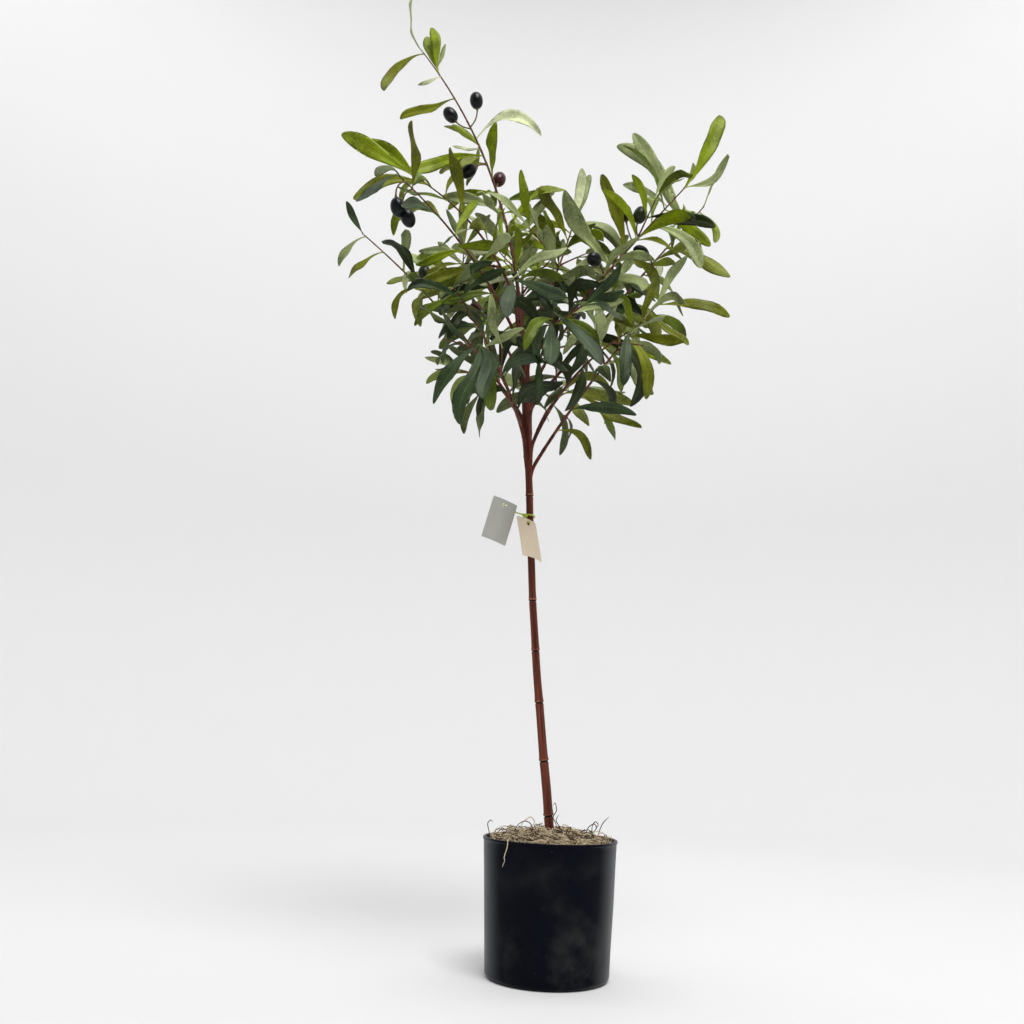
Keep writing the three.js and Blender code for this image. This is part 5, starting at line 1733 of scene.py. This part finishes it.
def soft_light(name, place, aim, size, power):
    """A rectangular lamp at a place, aimed at another."""
    lamp = bpy.data.lights.new(name, "AREA")
    lamp.shape = "RECTANGLE"
    lamp.size, lamp.size_y, lamp.energy = size[0], size[1], power
    light = bpy.data.objects.new(name, lamp)
    light.location = place
    light.rotation_euler = (Vector(aim) - Vector(place)).to_track_quat("-Z", "Y").to_euler()
    bpy.context.collection.objects.link(light)


def soft_sky(look):
    """Light from all round that is bright overhead and fades down to the horizon."""
    world = bpy.data.worlds.new("soft_sky")
    world.use_nodes = True
    nodes, links = world.node_tree.nodes, world.node_tree.links
    places = nodes.new("ShaderNodeTexCoord")
    parts = nodes.new("ShaderNodeSeparateXYZ")
    rise = nodes.new("ShaderNodeMapRange")
    rise.inputs["From Min"].default_value = SKY_FROM
    rise.inputs["From Max"].default_value = SKY_TO
    rise.inputs["To Min"].default_value = look.low_sky
    rise.inputs["To Max"].default_value = look.sky
    links.new(places.outputs["Generated"], parts.inputs[0])
    links.new(parts.outputs["Z"], rise.inputs["Value"])
    background = nodes["Background"]
    background.inputs["Color"].default_value = (1, 1, 1, 1)
    links.new(rise.outputs[0], background.inputs["Strength"])
    bpy.context.scene.world = world


def stage_camera(look):
    """The camera at the photograph's angle, looking up a little and leaning a little."""
    camera = bpy.data.objects.new("camera", bpy.data.cameras.new("camera"))
    camera.data.lens, camera.data.sensor_width = look.lens, 36
    ahead = Vector((0, math.cos(look.pitch), math.sin(look.pitch)))
    upright = Vector((0, -math.sin(look.pitch), math.cos(look.pitch)))
    right = Vector((math.cos(look.roll), 0, 0)) + upright * math.sin(look.roll)
    above = upright * math.cos(look.roll) - Vector((math.sin(look.roll), 0, 0))
    turn = Matrix((right, above, -ahead)).transposed()
    camera.matrix_world = Matrix.Translation(look.eye) @ turn.to_4x4()
    bpy.context.collection.objects.link(camera)
    bpy.context.scene.camera = camera


# Operators: one for each piece or group of like pieces, and one for the stage
class OLIVE_OT_pot(bpy.types.Operator):
    """Turns the pot from its profile."""

    bl_idname = "olive.pot"
    bl_label = "Pot"
    bl_options = {"REGISTER", "UNDO"}

    def execute(self, context):
        pot = context.scene.olive_tree.pot
        rows = turned(pot_profile(pot), POT_SIDES, pot.uneven / MM)
        skin = Skin()
        skin.sheet(rows, closed=True, caps=(True, True))
        skin.piece("pot_shell", [pot_plastic(pot)], "pot_plastic", ["pot"])
        return {"FINISHED"}


class OLIVE_OT_moss(bpy.types.Operator):
    """Lays the moss bed and its curly strands."""

    bl_idname = "olive.moss"
    bl_label = "Moss"
    bl_options = {"REGISTER", "UNDO"}

    def execute(self, context):
        moss = context.scene.olive_tree.moss
        dark = tuple(moss.dark)
        # The bed, darker than the strands and flecked with the dark, is painted shade between them.
        bed = moss_finish("moss_bed", shade(moss.tan, 0.75), dark)
        moss_bed().piece("moss_bed", [bed], "dry_moss", ["moss_fill"])
        finishes = [
            moss_finish("moss_straw", moss.straw, shade(moss.straw, 0.6)),
            moss_finish("moss_tan", moss.tan, shade(moss.tan, 0.55)),
            moss_finish("moss_dark", moss.dark, shade(moss.dark, 0.6)),
        ]
        moss_strands(moss).piece("moss_strands", finishes, "dry_moss")
        return {"FINISHED"}


class OLIVE_OT_cane(bpy.types.Operator):
    """Shapes the cane with its joint rings."""

    bl_idname = "olive.cane"
    bl_label = "Cane"
    bl_options = {"REGISTER", "UNDO"}

    def execute(self, context):
        cane = context.scene.olive_tree.cane
        finishes = [
            # The cane's foot is painted 1.5 times lighter: painted light from the floor.
            bark_finish("cane_bark", cane.bark, cane.streak, wear_and_foot_light=1.5),
            # The lip's finish is a painted highlight and the gap's a painted shade, at the joints' step.
            bark_finish("cane_lip", cane.lip, cane.bark, 0.5),
            bark_finish("cane_gap", shade(cane.streak, 0.45), shade(cane.streak, 0.3), 0.7),
        ]
        cane_skin(cane).piece("cane", finishes, "cane_bark", ["trunk"])
        return {"FINISHED"}


class OLIVE_OT_boughs(bpy.types.Operator):
    """Runs each bough up the bundle and out to its spray."""

    bl_idname = "olive.boughs"
    bl_label = "Boughs"
    bl_options = {"REGISTER", "UNDO"}

    def execute(self, context):
        cane = context.scene.olive_tree.cane
        bark = bark_finish("bough_bark", cane.bark, cane.streak)
        nodes = ["bough_" + spray.name for spray in SPRAYS if spray.bare]
        boughs_skin(cane).piece("boughs", [bark], "cane_bark", nodes)
        return {"FINISHED"}


class OLIVE_OT_twigs(bpy.types.Operator):
    """Grows the twigs, the side shoots and the olive stalks."""

    bl_idname = "olive.twigs"
    bl_label = "Twigs"
    bl_options = {"REGISTER", "UNDO"}

    def execute(self, context):
        cane = context.scene.olive_tree.cane
        finishes = [
            bark_finish("twig_bark", cane.twig, cane.streak),
            bark_finish("olive_stalk", cane.stalk, cane.twig, 0.5),
        ]
        twigs_skin(cane).piece("twigs", finishes, "cane_bark")
        return {"FINISHED"}


class OLIVE_OT_leaves(bpy.types.Operator):
    """Grows the leaves of every spray."""

    bl_idname = "olive.leaves"
    bl_label = "Leaves"
    bl_options = {"REGISTER", "UNDO"}

    def execute(self, context):
        leaf = context.scene.olive_tree.leaf
        finishes = leaf_finishes(leaf)
        for name, skin, nodes in leaf_skins(leaf):
            skin.piece(name, finishes, "leaf_fabric", nodes)
        return {"FINISHED"}


class OLIVE_OT_olives(bpy.types.Operator):
    """Hangs the olives on their stalks."""

    bl_idname = "olive.olives"
    bl_label = "Olives"
    bl_options = {"REGISTER", "UNDO"}

    def execute(self, context):
        olive = context.scene.olive_tree.olive
        finishes = [
            olive_finish("olive_black", olive.black, shade(olive.black, 2.2)),
            olive_finish("olive_brown", olive.brown, shade(olive.brown, 2.4)),
            olive_finish("olive_green", olive.green, shade(olive.green, 2.4)),
        ]
        olives_skin(olive).piece("olives", finishes, "leaf_fabric")
        return {"FINISHED"}


class OLIVE_OT_tags(bpy.types.Operator):
    """Ties the two blank hang tags to the cane."""

    bl_idname = "olive.tags"
    bl_label = "Tie and tags"
    bl_options = {"REGISTER", "UNDO"}

    def execute(self, context):
        tag = context.scene.olive_tree.tag
        tie_skin(tag).piece("tie_wire", [tie_finish(tag.tie)], "tie_plastic", ["tie"])
        grey, cream = card_finish("card_grey", tag.grey), card_finish("card_cream", tag.cream)
        tag_skin("tag_left", tag).piece("card_left", [grey], "tag_card_grey", ["tag_left"])
        tag_skin("tag_right", tag).piece("card_right", [cream], "tag_card_cream", ["tag_right"])
        return {"FINISHED"}


class OLIVE_OT_stage(bpy.types.Operator):
    """Sets the pale floor, the soft light and the camera."""

    bl_idname = "olive.stage"
    bl_label = "Stage"
    bl_options = {"REGISTER", "UNDO"}

    def execute(self, context):
        stage = context.scene.olive_tree.stage
        stage_sheet(stage)
        soft_light("key", KEY_PLACE, KEY_AIM, KEY_SIZE, stage.key)
        soft_light("wash", WASH_PLACE, (WASH_PLACE[0], stage.backdrop, 1.0), WASH_SIZE, stage.wash)
        soft_sky(stage)
        bpy.context.scene.view_settings.view_transform = "Standard"
        stage_camera(stage)
        return {"FINISHED"}


MAKERS = (
    OLIVE_OT_pot,
    OLIVE_OT_moss,
    OLIVE_OT_cane,
    OLIVE_OT_boughs,
    OLIVE_OT_twigs,
    OLIVE_OT_leaves,
    OLIVE_OT_olives,
    OLIVE_OT_tags,
    OLIVE_OT_stage,
)


class OLIVE_PT_tree(bpy.types.Panel):
    """Lists the tree's pieces and their settings."""

    bl_idname = "OLIVE_PT_tree"
    bl_label = "Olive Tree"
    bl_space_type = "VIEW_3D"
    bl_region_type = "UI"
    bl_category = "Olive Tree"

    def draw(self, context):
        for maker in MAKERS:
            self.layout.operator(maker.bl_idname)
        look = context.scene.olive_tree
        for name in look.bl_rna.properties.keys():
            group = getattr(look, name)
            if not isinstance(group, bpy.types.PropertyGroup):
                continue
            column = self.layout.box().column()
            for key in group.__annotations__:
                column.prop(group, key)


GROUPS = (PotLook, MossLook, CaneLook, LeafLook, OliveLook, TagLook, StageLook, OliveTreeLook)


def register():
    for cls in (*GROUPS, *MAKERS, OLIVE_PT_tree):
        bpy.utils.register_class(cls)
    bpy.types.Scene.olive_tree = bpy.props.PointerProperty(type=OliveTreeLook)


def unregister():
    del bpy.types.Scene.olive_tree
    for cls in reversed((*GROUPS, *MAKERS, OLIVE_PT_tree)):
        bpy.utils.unregister_class(cls)


def main():
    register()
    bpy.ops.olive.pot()
    bpy.ops.olive.moss()
    bpy.ops.olive.cane()
    bpy.ops.olive.boughs()
    bpy.ops.olive.twigs()
    bpy.ops.olive.leaves()
    bpy.ops.olive.olives()
    bpy.ops.olive.tags()
    bpy.ops.olive.stage()


if __name__ == "__main__":
    main()
